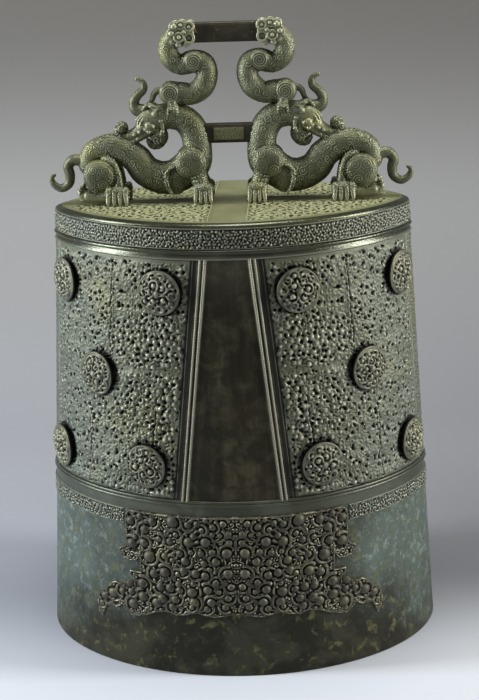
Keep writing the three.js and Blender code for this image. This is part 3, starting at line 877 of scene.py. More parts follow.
@dataclass(frozen=True)
class WallPlan:
    """Outline of the bell's wall in plan at every height, and the heights of its bands."""

    mouth_half_width: float
    mouth_half_depth: float
    body_height: float
    crown_half_width: float = 263.0
    crown_half_depth: float = 187.0
    mouth_fullness: float = 0.54
    crown_fullness: float = 0.73
    skirt_top: float = 219.0
    lower_band_top: float = 243.5
    moulding_foot: float = 257.0
    field_foot: float = 266.5
    field_top: float = 614.0
    slope_top: float = 620.5
    upper_rib_foot: float = 622.5
    upper_band_foot: float = 627.5
    upper_band_top: float = 658.5

    @classmethod
    def from_frame(cls) -> "WallPlan":
        """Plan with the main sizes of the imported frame."""
        low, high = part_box("bell_shell")
        return cls(high[0] / MM, high[1] / MM, (high[2] - low[2]) / MM)

    def field_height(self, share: Points) -> Points:
        """Height at a share of the fields' rise."""
        return self.field_foot + (self.field_top - self.field_foot) * share

    def field_share(self, height: Points) -> Points:
        """Share of the fields' rise at a height."""
        return (height - self.field_foot) / (self.field_top - self.field_foot)

    def at(self, height: Points) -> tuple[Points, Points, Points]:
        """Outline at a height.

        Args:
            height: The height.

        Returns:
            Half width, half depth and fullness.
        """
        rise = np.asarray(height, dtype=float) / self.body_height
        width = self.mouth_half_width + (self.crown_half_width - self.mouth_half_width) * rise
        depth = self.mouth_half_depth + (self.crown_half_depth - self.mouth_half_depth) * rise
        return width, depth, self.mouth_fullness + (self.crown_fullness - self.mouth_fullness) * rise

    def normal(self, turn: Points, height: Points) -> Points:
        """Outward direction of the wall in plan.

        Args:
            turn: Turn about the axis, in radians.
            height: Height on the wall.

        Returns:
            Unit rows of x, y, z.
        """
        width, depth, fullness = self.at(height)
        sine = np.maximum(np.abs(np.sin(turn)), 1e-9)
        sideways = depth * 2 * fullness * sine ** (2 * fullness - 1) * np.cos(turn)
        forwards = width * np.sin(turn)
        length = np.hypot(sideways, forwards)
        return np.stack(np.broadcast_arrays(sideways / length, forwards / length, 0.0), axis=-1)

    def point(self, turn: Points, height: Points, outwards: Points = 0.0) -> Points:
        """Point of the wall, moved outwards.

        Args:
            turn: Turn about the axis, in radians.
            height: Height on the wall.
            outwards: How far it moves out of the wall.

        Returns:
            Rows of x, y, z.
        """
        turn, height = np.asarray(turn, float), np.asarray(height, float)
        turn, height, outwards = np.broadcast_arrays(turn, height, outwards)
        width, depth, fullness = self.at(height)
        sine = np.sin(turn)
        x = width * np.cos(turn)
        y = depth * np.sign(sine) * np.abs(sine) ** (2 * fullness)
        return np.stack([x, y, height], axis=-1) + self.normal(turn, height) * outwards[..., None]

    def turn_at(self, x: Points, height: Points, face: Face) -> Points:
        """Turn of the wall point with a given x on a face."""
        return face.value * np.arccos(np.clip(x / self.at(height)[0], -1, 1))

    def steps(self, start: float, end: float, height: float) -> tuple[Points, Points]:
        """Turns from start to end in small steps, and the length of each step along the wall."""
        turns = np.linspace(start, end, 4000)
        return turns, np.linalg.norm(np.diff(self.point(turns, height), axis=0), axis=-1)

    def even_turns(self, start: float, end: float, count: int, height: float) -> Points:
        """Turns that are evenly spaced along the wall.

        Args:
            start: First turn.
            end: Last turn.
            count: Number of turns.
            height: Height at which they are even.

        Returns:
            The turns.
        """
        turns, steps = self.steps(start, end, height)
        run = np.concatenate([[0], np.cumsum(steps)])
        return np.interp(np.linspace(0, run[-1], count), run, turns)

    def length(self, start: float, end: float, height: float) -> float:
        """Length of the wall between two turns at a height."""
        return float(self.steps(start, end, height)[1].sum())


Rows = list[tuple[float, float]]


@dataclass
class BellBody:
    """The bell's own wall: skirt, bands, mouldings, shoulder, crown ground, lip and inside."""

    plan: WallPlan
    columns: int = 720
    wall: float = 10.0
    crown: float = 12.0
    lip: float = 15.0
    lip_height: float = 22.0
    lip_slope: float = 16.0
    band_proud: float = 1.0
    moulding_proud: float = 3.0
    slope_proud: float = 2.4
    groove_depth: float = 0.6
    shoulder_inset: float = 7.0
    field_sink: float = 3.5
    band_sink: float = 2.2
    ground_drop: float = 3.2
    edge_round: float = 2.0

    def moulding(self, foot: float, top: float, proud: float, steps: int = 9) -> Rows:
        """Rows of a rounded moulding.

        Args:
            foot: Height of its foot.
            top: Height of its top.
            proud: How far it stands out.
            steps: Number of rows.

        Returns:
            Height and offset of each row.
        """
        angles = np.linspace(0, math.pi, steps)
        middle, half = (foot + top) / 2, (top - foot) / 2
        return [(middle - half * math.cos(a), proud * math.sin(a) ** 0.6) for a in angles]

    def skirt_rows(self) -> Rows:
        """Rows of the skirt, from the rim up behind the lower band.

        Returns:
            Height and offset of each row.
        """
        bend = self.edge_round
        rows = [(0.0, -bend), (bend * 0.3, -bend * 0.3), (bend, 0.0)]
        return rows + [(height, 0.0) for height in np.linspace(8, self.plan.lower_band_top, 48)]

    def hidden_rows(self) -> Rows:
        """Rows of the wall's core behind the fields and the upper band.

        Returns:
            Height and offset of each row.
        """
        plan, deep, shallow = self.plan, -self.field_sink, -self.band_sink
        rows = [(plan.field_foot - 2, deep), (plan.field_top + 2, deep)]
        return rows + [(plan.upper_band_foot - 1, shallow), (plan.upper_band_top + 1, shallow)]

    def strip_rows(self) -> Rows:
        """Rows of the plain strip and the double moulding under the fields.

        Returns:
            Height and offset of each row.
        """
        plan = self.plan
        middle = (plan.moulding_foot + plan.field_foot) / 2
        rows = [(plan.lower_band_top - 0.5, 0.0)]
        rows += [(height, 0.0) for height in np.linspace(plan.lower_band_top, plan.moulding_foot - 0.4, 5)]
        rows += self.moulding(plan.moulding_foot, middle + 0.3, self.moulding_proud)
        rows += self.moulding(middle + 0.3, plan.field_foot, self.moulding_proud * 0.8)
        return rows + [(plan.field_foot + 0.3, -self.field_sink)]

    def upper_rows(self) -> Rows:
        """Rows from the top of the fields to the foot of the upper band.

        Returns:
            Height and offset of each row.
        """
        plan = self.plan
        rows = [(plan.field_top - 0.3, -self.field_sink), (plan.field_top - 0.2, self.slope_proud * 0.7)]
        rows += [(plan.field_top + 0.8, self.slope_proud), (plan.slope_top - 0.3, -self.groove_depth * 0.5)]
        rows += [(plan.slope_top + 0.3, -self.groove_depth), (plan.upper_rib_foot - 0.3, -self.groove_depth)]
        rows += self.moulding(plan.upper_rib_foot, plan.upper_band_foot, self.moulding_proud)
        return rows + [(plan.upper_band_foot + 0.3, -1.5)]

    def shoulder_rows(self) -> Rows:
        """Rows of the smooth rounded shoulder above the upper band.

        Returns:
            Height and offset of each row.
        """
        foot, proud = self.plan.upper_band_top, self.band_proud
        rise, inset = self.plan.body_height - foot, self.shoulder_inset + proud
        rows = [(foot - 0.5, -1.0), (foot - 0.3, proud)]
        for angle in np.linspace(0, math.pi / 2, 9):
            rows.append((foot + rise * math.sin(angle), proud - inset * (1 - math.cos(angle))))
        return rows

    def around(self, rows: Rows, columns: int) -> Points:
        """Grid of points all the way round the wall.

        Args:
            rows: Height and offset of each row.
            columns: Points in a row.

        Returns:
            Rows and columns of x, y, z.
        """
        turns = self.plan.even_turns(0, FULL, columns + 1, self.plan.body_height / 2)[:-1]
        heights, outwards = np.array(rows).T[:, :, None]
        return self.plan.point(turns, heights, outwards)

    def ring(self, name: str, rows: Rows) -> bpy.types.Object:
        """Band of the wall all the way round.

        Args:
            name: Name of the piece.
            rows: Height and offset of each row.

        Returns:
            The band.
        """
        piece = grid_mesh(name, self.around(rows, self.columns), closed=True)
        set_relief(piece.data, crease_mask(piece.data, 3, 0.2))
        return piece

    def inside(self) -> bpy.types.Object:
        """Rim, lip and cavity in one skin.

        Returns:
            The skin, from the rim's outer edge up to the ceiling's middle.
        """
        ceiling = self.plan.body_height - self.crown
        rows = [(0.0, -self.edge_round), (0.0, 1 - self.lip), (1.0, -self.lip)]
        rows += [(self.lip_height, -self.lip), (self.lip_height + self.lip_slope, -self.wall)]
        rows += [(height, -self.wall) for height in np.linspace(60, ceiling - 8, 20)]
        rows += [(ceiling - 2.5, -self.wall - 2.5), (ceiling, -self.wall - 8)]
        points = self.around(rows, self.columns // 2)
        caps = [points[-1] * np.array([share, share, 1.0]) for share in (0.85, 0.6, 0.3, 0.02)]
        return grid_mesh("bell_inside", np.concatenate([points, caps]), closed=True, turned=True)

    def crown_ground(self) -> bpy.types.Object:
        """The crown's plain ground, under the patterned quarters.

        Returns:
            The ground.
        """
        rim = self.around([(self.plan.body_height, -self.shoulder_inset)], self.columns // 2)
        shares = np.concatenate([[1.0, 0.985, 0.98], np.linspace(0.96, 0.02, 8)])
        points = rim * np.stack([shares, shares, np.ones_like(shares)], axis=-1)[:, None, :]
        points[2:, :, 2] -= self.ground_drop
        return grid_mesh("crown_ground", points, closed=True)

    def build(self, workshop: Workshop) -> None:
        """Builds and places the wall's pieces.

        Args:
            workshop: Where the pieces are dressed and placed.
        """
        rings = {
            "bell_skirt": (self.skirt_rows(), SKIRT),
            "wall_core": (self.hidden_rows(), WALL),
            "lower_moulding": (self.strip_rows(), WALL),
            "upper_moulding": (self.upper_rows(), SHOULDER),
            "shoulder": (self.shoulder_rows(), SHOULDER),
        }
        for name, (rows, finish) in rings.items():
            workshop.place(self.ring(name, rows), finish, Slot.BODY, "bell_shell")
        workshop.place(self.inside(), INSIDE, Slot.BODY, "bell_shell")
        workshop.place(self.crown_ground(), CROWN, Slot.BODY, "bell_shell")


@dataclass
class Bands:
    """The two narrow bands of fine interlace."""

    plan: WallPlan
    pitch: float = 1.0
    bead: float = 2.0
    bead_height: float = 1.5
    lift: float = 0.8
    spacing: float = 4.8
    strike_clear: float = 165.0
    shade: float = 0.1
    floor_below: float = 0.12
    floor_above: float = -1.9
    edge: float = 3.0
    pit: float = 1.8
    pit_depth: float = 2.4
    plain_edge: float = 2.2
    plain_rise: float = 0.9

    def interlace(self, width: float, height: float, seed: int) -> ReliefMap:
        """Relief of tight small curls and beads between two plain edges.

        Args:
            width: Length of the strip.
            height: Height of the strip.
            seed: Seed of the pattern.

        Returns:
            The relief.
        """
        rng = np.random.default_rng(seed)
        relief = ReliefMap(width, height, self.pitch)
        beads = scattered(width, height, self.spacing, 0.3, rng)
        beads = beads[(beads[:, 1] > self.edge) & (beads[:, 1] < height - self.edge)]
        size = rng.uniform(0.75, 1.15, len(beads))
        relief.stamp(beads, self.bead * size, self.bead_height * size)
        pits = scattered(width, height, self.spacing * 1.6, 0.35, rng)
        pits = pits[(pits[:, 1] > self.edge) & (pits[:, 1] < height - self.edge)]
        relief.stamp(pits, self.pit, -self.pit_depth, 1.0)
        edge = np.minimum(relief.up, height - relief.up)[:, None]
        relief.heights = np.where(edge < self.plain_edge, self.plain_rise, relief.heights) + self.lift
        return relief

    def strip(
        self, name: str, start: float, end: float, foot: float, top: float, seed: int
    ) -> bpy.types.Object:
        """Patterned strip of the wall.

        Args:
            name: Name of the piece.
            start: Turn at which it starts.
            end: Turn at which it ends.
            foot: Height of its foot.
            top: Height of its top.
            seed: Seed of the pattern.

        Returns:
            The strip.
        """
        middle = (foot + top) / 2
        relief = self.interlace(self.plan.length(start, end, middle), top - foot, seed)
        turns = self.plan.even_turns(start, end, relief.columns, middle)
        floor = self.floor_below if foot < self.plan.field_foot else self.floor_above
        outwards = np.maximum(relief.heights, floor)
        outwards[0] = outwards[-1] = EDGE_SINK
        points = self.plan.point(turns, (foot + relief.up)[:, None], outwards)
        return grid_mesh(name, points, relief.mask(2.5, 0.58) - self.shade)

    def build(self, workshop: Workshop) -> None:
        """Builds the upper band in quarters and the lower band beside the strike panels.

        Args:
            workshop: Where the pieces are dressed and placed.
        """
        plan = self.plan
        for index in range(4):
            start = index * math.pi / 2
            heights = (plan.upper_band_foot, plan.upper_band_top)
            band = self.strip(f"upper_band_{index + 1}", start, start + math.pi / 2, *heights, 11 + index)
            workshop.place(band, FIELD, Slot.BODY)
        for face in Face:
            clear = float(plan.turn_at(self.strike_clear, plan.skirt_top, face))
            ends = {"right": (0.0, clear), "left": (face.value * math.pi - clear, face.value * math.pi)}
            for side, turns in ends.items():
                turns = turns[::-1] if face is Face.FRONT else turns
                name = f"lower_band_{face.label}_{side}"
                band = self.strip(name, *turns, plan.skirt_top, plan.lower_band_top, 21)
                workshop.place(band, FIELD, Slot.BODY)


BOSS_PLACES = ((0.355, 0.865), (0.9, 0.855), (0.7, 0.495), (0.44, 0.135), (0.912, 0.12))


@dataclass
class Fields:
    """The four fields of dense high relief beside the centre panels."""

    plan: WallPlan
    pitch: float = 1.05
    seed: int = 7
    inner_at_foot: float = 78.6
    inner_at_top: float = 41.6
    outer_share: float = 0.965
    bead: float = 4.8
    spacing: float = 10.2
    fine_spacing: float = 6.4
    rise: float = 3.6
    pit: float = 5.5
    lift: float = 0.3
    rib_half: float = 1.7
    rib_proud: float = 1.8
    inner_margin: float = 11.0
    foot_margin: float = 2.0
    top_margin: float = 5.0
    line_proud: float = 0.9
    least_strength: float = 0.22
    border_shade: float = 0.22
    core_clear: float = -3.1
    seams: tuple[Place, ...] = ((0.47, 0.57, 1.0), (0.6, 0.0, 0.47), (0.16, 0.1, 0.42))
    plain_strip: tuple[float, float] = (0.515, 0.55)
    pitted: float = 0.78
    boss_shade: float = 0.27
    boss_reach: float = 38.5
    wave_length: float = 52.0
    wave_height: float = 0.95
    seam_proud: float = 1.3
    seam_deep: float = 1.7
    seam_half: float = 1.2
    groove_away: float = 2.7
    swells: tuple[tuple[float, float, float, float, float], ...] = (
        (0.24, 0.64, 0.22, 0.13, 0.9),
        (0.26, 0.36, 0.24, 0.12, 0.85),
        (0.2, 0.1, 0.3, 0.1, 0.6),
        (0.14, 0.5, 0.08, 0.6, 0.35),
        (0.75, 0.8, 0.3, 0.2, 0.2),
    )

    def borders(self, height: Points, face: Face) -> tuple[Points, Points]:
        """Borders of the right-hand field.

        Args:
            height: Height on the wall.
            face: Face of the bell.

        Returns:
            Turns of the inner and of the outer border.
        """
        plan = self.plan
        inner = self.inner_at_foot + (self.inner_at_top - self.inner_at_foot) * plan.field_share(height)
        outer = self.outer_share * plan.at(height)[0]
        return plan.turn_at(inner, height, face), plan.turn_at(outer, height, face)

    def relief(self) -> ReliefMap:
        """Relief of the right-hand front field.

        Returns:
            The relief, from the inner border outwards.
        """
        plan = self.plan
        middle = (plan.field_foot + plan.field_top) / 2
        inner, outer = self.borders(np.array(middle), Face.FRONT)
        width, height = plan.length(float(inner), float(outer), middle), plan.field_top - plan.field_foot
        relief = ReliefMap(width, height, self.pitch)
        rng = np.random.default_rng(self.seed)
        fine = scattered(width, height, self.fine_spacing, 0.42, rng)
        relief.stamp(fine, rng.uniform(1.6, 3.0, len(fine)), rng.uniform(0.3, 1.3, len(fine)), 1.0)
        sites = scattered(width, height, self.spacing, 0.3, rng)
        powers = self.strength(sites, width, height)
        pits = np.array([self.curl(relief, site, power, rng) for site, power in zip(sites, powers)])
        relief.heights += self.waviness(relief) + self.seam_lines(relief)
        pits = pits[rng.random(len(pits)) < self.pitted]
        relief.stamp(pits, rng.uniform(1.2, 3.1, len(pits)), -self.pit, 0.7)
        return relief

    def waviness(self, relief: ReliefMap) -> Points:
        """Broad hollows and swellings of the cast ground.

        Args:
            relief: Map of the field.

        Returns:
            Heights to add to it.
        """
        x, z = relief.across[None, :] / self.wave_length, relief.up[:, None] / self.wave_length
        broad, crossed = np.sin(3.1 * x + 1.3) * np.sin(2.3 * z + 0.4), np.sin(1.7 * x - 2.9 * z)
        return self.wave_height * (broad + crossed * np.cos(4.3 * z + x))

    def seam_lines(self, relief: ReliefMap) -> Points:
        """Low ridge with a groove beside it along each seam of the mould.

        Args:
            relief: Map of the field.

        Returns:
            Heights to add to it.
        """
        result = np.zeros_like(relief.heights)
        up = relief.up[:, None]
        for share, foot, top in self.seams:
            away = relief.across[None, :] - share * relief.width - 0.8 * np.sin(up * 0.09)
            ridge = self.seam_proud * np.exp(-((away / self.seam_half) ** 2))
            groove = self.seam_deep * np.exp(-(((away - self.groove_away) / self.seam_half) ** 2))
            result += (ridge - groove) * ((up > foot * relief.height) & (up < top * relief.height))
        return result

    def curl(self, relief: ReliefMap, site: Points, power: float, rng: np.random.Generator) -> Points:
        """Raises one bead with a hooked crescent round it.

        Args:
            relief: Map of the field.
            site: Place of the bead.
            power: Strength of the relief there, 0 to 1.
            rng: Source of the variation.

        Returns:
            Place of the pit inside the hook.
        """
        start = rng.uniform(0, FULL)
        hand = 1 if rng.random() < 0.5 else -1
        size = self.bead * rng.uniform(0.62, 1.28) * (0.6 + 0.4 * power)
        tall = self.rise * (0.35 + 0.65 * power)
        angles = start + hand * np.linspace(0, rng.uniform(1.8, 3.8), 40)
        reach = size + rng.uniform(1.4, 2.0) + np.linspace(0, 1.4, 40)
        hook = site + reach[:, None] * np.column_stack([np.cos(angles), np.sin(angles)])
        relief.thread(hook, rng.uniform(1.0, 1.5), tall * 0.55)
        if rng.random() < 0.25 + 0.75 * power:
            relief.stamp(site, size, tall * rng.uniform(0.85, 1.15), 0.9)
        turn = angles[-1] + 0.8 * hand
        return site + (reach[-1] - 0.5) * np.array([math.cos(turn), math.sin(turn)])

    def strength(self, sites: Points, width: float, height: float) -> Points:
        """How strong the relief is at places of the field.

        Args:
            sites: Rows of across and up.
            width: Width of the field.
            height: Height of the field.

        Returns:
            Strengths from 0 to 1.
        """
        across, up = sites[:, 0] / width, sites[:, 1] / height
        power = self.least_strength * np.ones(len(sites))
        for x, z, wide, tall, gain in self.swells:
            power += gain * np.exp(-(((across - x) / wide) ** 2 + ((up - z) / tall) ** 2))
        return np.clip(power, 0, 1)

    def framed(self, relief: ReliefMap) -> Points:
        """Heights of the relief with its margins, the plain strip, the thin inner line and the outer rib.

        Args:
            relief: Map of the field.

        Returns:
            The framed heights.
        """
        edge_in = relief.across[None, :]
        edge_out = relief.across[-1] - edge_in
        up = relief.up[:, None]
        ragged = 2.2 * np.sin(up * 0.23) + 1.6 * np.sin(up * 0.61 + 1.3)
        near = np.minimum(edge_in - self.inner_margin - ragged, edge_out - 2 * self.rib_half)
        near = np.minimum(near, np.minimum(up - self.foot_margin, relief.up[-1] - up - self.top_margin))
        along = up / relief.height
        strip = smooth_step(0.0, 0.012, np.minimum(along - self.plain_strip[0], self.plain_strip[1] - along))
        strip = strip * smooth_step(0.95, 0.6, edge_in / relief.width)
        heights = (relief.heights * (1 - 0.75 * strip) + self.lift) * smooth_step(0.0, 3.0, near)
        rib = np.sqrt(np.clip(1 - ((edge_out - self.rib_half) / self.rib_half) ** 2, 0, 1))
        heights = np.where(rib > 0, np.maximum(heights, self.rib_proud * rib), heights)
        line = bump_at(edge_in, 6.0, 0.9) - 0.8 * bump_at(edge_in, 7.6, 1.2)
        return heights + self.line_proud * line

    def beside_bosses(self, points: Points, face: Face) -> Points:
        """Mask of the ground close round the right-hand bosses.

        Args:
            points: Rows of x, y, z on the wall.
            face: Face of the bell.

        Returns:
            1 beside a boss, 0 farther away.
        """
        plan = self.plan
        near = np.full(len(points), np.inf)
        for place, share in BOSS_PLACES:
            height = plan.field_height(share)
            turn = plan.turn_at(place * float(plan.at(height)[0]), height, face)
            near = np.minimum(near, np.linalg.norm(points - plan.point(turn, height), axis=1))
        return smooth_step(self.boss_reach, self.boss_reach - 5.0, near)

    def build(self, workshop: Workshop) -> None:
        """Builds the field once and lays it on both faces and both sides.

        Args:
            workshop: Where the pieces are dressed and placed.
        """
        plan = self.plan
        relief = self.relief()
        relief.heights = self.framed(relief)
        height = plan.field_foot + relief.up
        border = self.border_shade * smooth_step(13.0, 8.0, relief.across)
        mask = (relief.mask(5.0, 0.2) - border[None, :]).ravel()
        outwards = np.maximum(relief.heights, self.core_clear)
        outwards[0] = outwards[-1] = self.core_clear
        middle = relief.rows // 2
        for face in Face:
            inner, outer = self.borders(height, face)
            even = plan.even_turns(float(inner[middle]), float(outer[middle]), relief.columns, height[middle])
            along = (even - even[0]) / (even[-1] - even[0])
            turns = inner[:, None] + (outer - inner)[:, None] * along[None, :]
            points = plan.point(turns, height[:, None], outwards)
            ring = self.beside_bosses(points.reshape(-1, 3), face)
            # The ground round the bosses gets one low mask: painted shadow of the bosses.
            boss_shade = mask * (1 - ring) + self.boss_shade * ring
            for side in Side:
                name, turned = f"field_{face.label}_{side.label}", face.value * side.value > 0
                piece = grid_mesh(name, points * [side.value, 1, 1], boss_shade, turned=turned)
                workshop.place(piece, FIELD, Slot.BODY)


@dataclass
class CentrePanels:
    """Plain centre panels with a double rib at each side."""

    plan: WallPlan
    half_at_foot: float = 66.0
    half_at_top: float = 29.0
    rib_width: float = 3.6
    rib_spacing: float = 2.8
    rib_proud: float = 2.6
    rope: float = 0.3

    def columns(self) -> tuple[Points, Points]:
        """Section across the double rib.

        Returns:
            Offsets from the panel's edge outwards, and the height of the wall's skin there.
        """
        offsets = np.concatenate([np.arange(0, 12.4, 0.4), [12.7, 13.0, 13.3]])
        raised = np.zeros_like(offsets)
        for middle in (self.rib_width / 2, self.rib_width * 1.5 + self.rib_spacing):
            away = np.clip(1 - ((offsets - middle) / (self.rib_width / 2 + 0.3)) ** 2, 0, 1)
            raised = np.maximum(raised, self.rib_proud * away**0.5)
        raised[-1] = EDGE_SINK
        return offsets, raised

    def build(self, workshop: Workshop) -> None:
        """Builds the front and the back panel, each one skin across both ribs.

        Args:
            workshop: Where the pieces are dressed and placed.
        """
        plan = self.plan
        offsets, raised = self.columns()
        heights = np.linspace(plan.field_foot - 1.5, plan.field_top + 0.5, 360)[:, None]
        rise = plan.field_share(heights)
        half = self.half_at_foot + (self.half_at_top - self.half_at_foot) * rise
        inner = np.linspace(-1, 1, 41)[1:-1]
        x = np.concatenate([-(half + offsets[::-1]), half * inner, half + offsets], axis=1)
        outwards = np.concatenate([raised[::-1], np.zeros(len(inner)), raised])
        outwards = outwards + self.rope * np.sin(heights * 1.6) * (outwards > 0.8)
        # Raised ribs get a higher mask, worn metal with painted highlight; the upper part is lifted too, as
        # painted light.
        mask = LEVEL + 0.16 * np.maximum(outwards, 0) + 0.17 * smooth_step(0.5, 1.0, rise)
        for face in Face:
            points = plan.point(plan.turn_at(x, heights, face), heights, outwards)
            piece = grid_mesh(f"centre_panel_{face.label}", points, mask, turned=face is Face.BACK)
            workshop.place(piece, PANEL, Slot.BODY)


@dataclass
class SideEdges:
    """Narrow patterned strips along the two pointed side edges of the wall."""

    plan: WallPlan
    share: float = 0.967
    pitch: float = 1.3
    spacing: float = 5.2
    plain_edge: float = 4.0
    pit_spacing: float = 7.5
    pit: float = 1.7
    pit_depth: float = 1.0
    seed: int = 17

    def build(self, workshop: Workshop) -> None:
        """Builds the right and the left strip, each round its edge.

        Args:
            workshop: Where the pieces are dressed and placed.
        """
        plan = self.plan
        middle = (plan.field_foot + plan.field_top) / 2
        reach = math.acos(self.share)
        width = plan.length(-reach, reach, middle)
        relief = ReliefMap(width, plan.field_top - plan.field_foot, self.pitch)
        rng = np.random.default_rng(self.seed)
        sites = scattered(width, relief.height, self.spacing, 0.3, rng)
        away = np.minimum(np.abs(sites[:, 0] - width / 2), np.minimum(sites[:, 0], width - sites[:, 0]))
        sites = sites[away > self.plain_edge]
        relief.stamp(sites, rng.uniform(1.6, 2.4, len(sites)), rng.uniform(0.7, 1.3, len(sites)))
        pits = scattered(width, relief.height, self.pit_spacing, 0.35, rng)
        relief.stamp(pits, self.pit, -self.pit_depth, 1.0)
        turns = plan.even_turns(-reach, reach, relief.columns, middle)
        outwards = relief.heights.copy()
        outwards[0] = outwards[-1] = EDGE_SINK
        points = plan.point(turns, (plan.field_foot + relief.up)[:, None], outwards)
        for side in Side:
            name, mask = f"side_edge_{side.label}", relief.mask(3.0, 0.5)
            piece = grid_mesh(name, points * [side.value, 1, 1], mask, turned=side is Side.LEFT)
            workshop.place(piece, FIELD, Slot.BODY)


@dataclass
class CrownRelief:
    """Four patterned quarters on the crown, with plain strips between them."""

    plan: WallPlan
    pitch: float = 1.3
    strip_across: float = 26.0
    strip_along: float = 16.0
    rim_clear: float = 5.0
    shoulder_inset: float = 7.0
    pit_depth: float = 2.6
    open_depth: float = 0.8
    line_proud: float = 1.4
    seed: int = 31
    scroll_spacing: float = 8.4
    bead_spacing: float = 7.2
    pit_spacing: float = 9.6
    mark_spacing: float = 4.4

    def quarter(self) -> tuple[Points, Points, Points]:
        """The quarter with positive x and y.

        Returns:
            Points, quads and height mask.
        """
        plan = self.plan
        width, depth, _ = (float(v) for v in plan.at(plan.body_height))
        relief = ReliefMap(width, depth, self.pitch)
        x, y = relief.across[None, :], relief.up[:, None]
        rim = plan.point(np.linspace(0, math.pi / 2, 500), plan.body_height, -self.shoulder_inset)
        rim_y = np.interp(x, rim[::-1, 0], rim[::-1, 1], right=-50.0)
        rim_x = np.interp(y, rim[:, 1], rim[:, 0], right=-50.0)
        inside = np.minimum(rim_y - y, rim_x - x) * 0.8
        edge = np.minimum(np.minimum(x - self.strip_across, y - self.strip_along), inside - self.rim_clear)
        self.pattern(relief)
        relief.heights = np.maximum(relief.heights, -self.pit_depth) * smooth_step(2.0, 3.5, edge)
        # The mask is read while the pits are still deep, and the mesh keeps them shallow, so the pits are
        # painted dark: dirt with painted shade.
        dark = relief.mask(5.0, 0.38)
        relief.heights = np.maximum(relief.heights, -self.open_depth)
        line = self.line_proud * bump_at(edge, 1.2, 1.3)
        relief.heights = np.maximum(relief.heights, line - 9.0 * (line <= 0)) + 0.05
        mask = np.where(edge > 2.0, dark, relief.mask(4.0, 0.3))
        heights = np.where(inside < 1.2, -self.pit_depth, relief.heights)
        points = np.stack(np.broadcast_arrays(x, y, plan.body_height + heights), axis=-1).reshape(-1, 3)
        quads = grid_quads(relief.rows, relief.columns)
        kept = quads[(inside.ravel()[quads] > -0.5).all(axis=1)]
        return without_loose(points, kept, mask.ravel())

    def pattern(self, relief: ReliefMap) -> None:
        """Raises worn scrolls and beads, and sinks pits and marks between them.

        Args:
            relief: Map of the crown.
        """
        rng = np.random.default_rng(self.seed)
        size = (relief.width, relief.height)
        for site in scattered(*size, self.scroll_spacing, 0.32, rng):
            hand = 1 if rng.random() < 0.5 else -1
            route = scroll_route(site, rng.uniform(2.6, 4.0), 0.9, rng.uniform(0, FULL), hand)
            relief.thread(route, 1.3, 0.7)
        beads = scattered(*size, self.bead_spacing, 0.35, rng)
        relief.stamp(beads, rng.uniform(1.7, 2.9, len(beads)), rng.uniform(0.3, 1.1, len(beads)))
        pits = scattered(*size, self.pit_spacing, 0.46, rng)
        relief.stamp(pits, rng.uniform(2.0, 4.4, len(pits)), rng.uniform(-6.0, -3.4, len(pits)), 0.8)
        marks = scattered(*size, self.mark_spacing, 0.48, rng)
        relief.stamp(marks, rng.uniform(1.3, 2.3, len(marks)), rng.uniform(-2.6, -0.8, len(marks)), 0.8)

    def build(self, workshop: Workshop) -> None:
        """Builds one quarter and mirrors it to all four.

        Args:
            workshop: Where the pieces are dressed and placed.
        """
        points, quads, mask = self.quarter()
        for face in Face:
            for side in Side:
                placed = points * [side.value, face.value, 1]
                facing = quads if side.value * face.value > 0 else quads[:, ::-1]
                piece = make_mesh(f"crown_quarter_{face.label}_{side.label}", placed, facing, mask)
                workshop.place(piece, CROWN, Slot.BODY)


# Bosses and strike panels


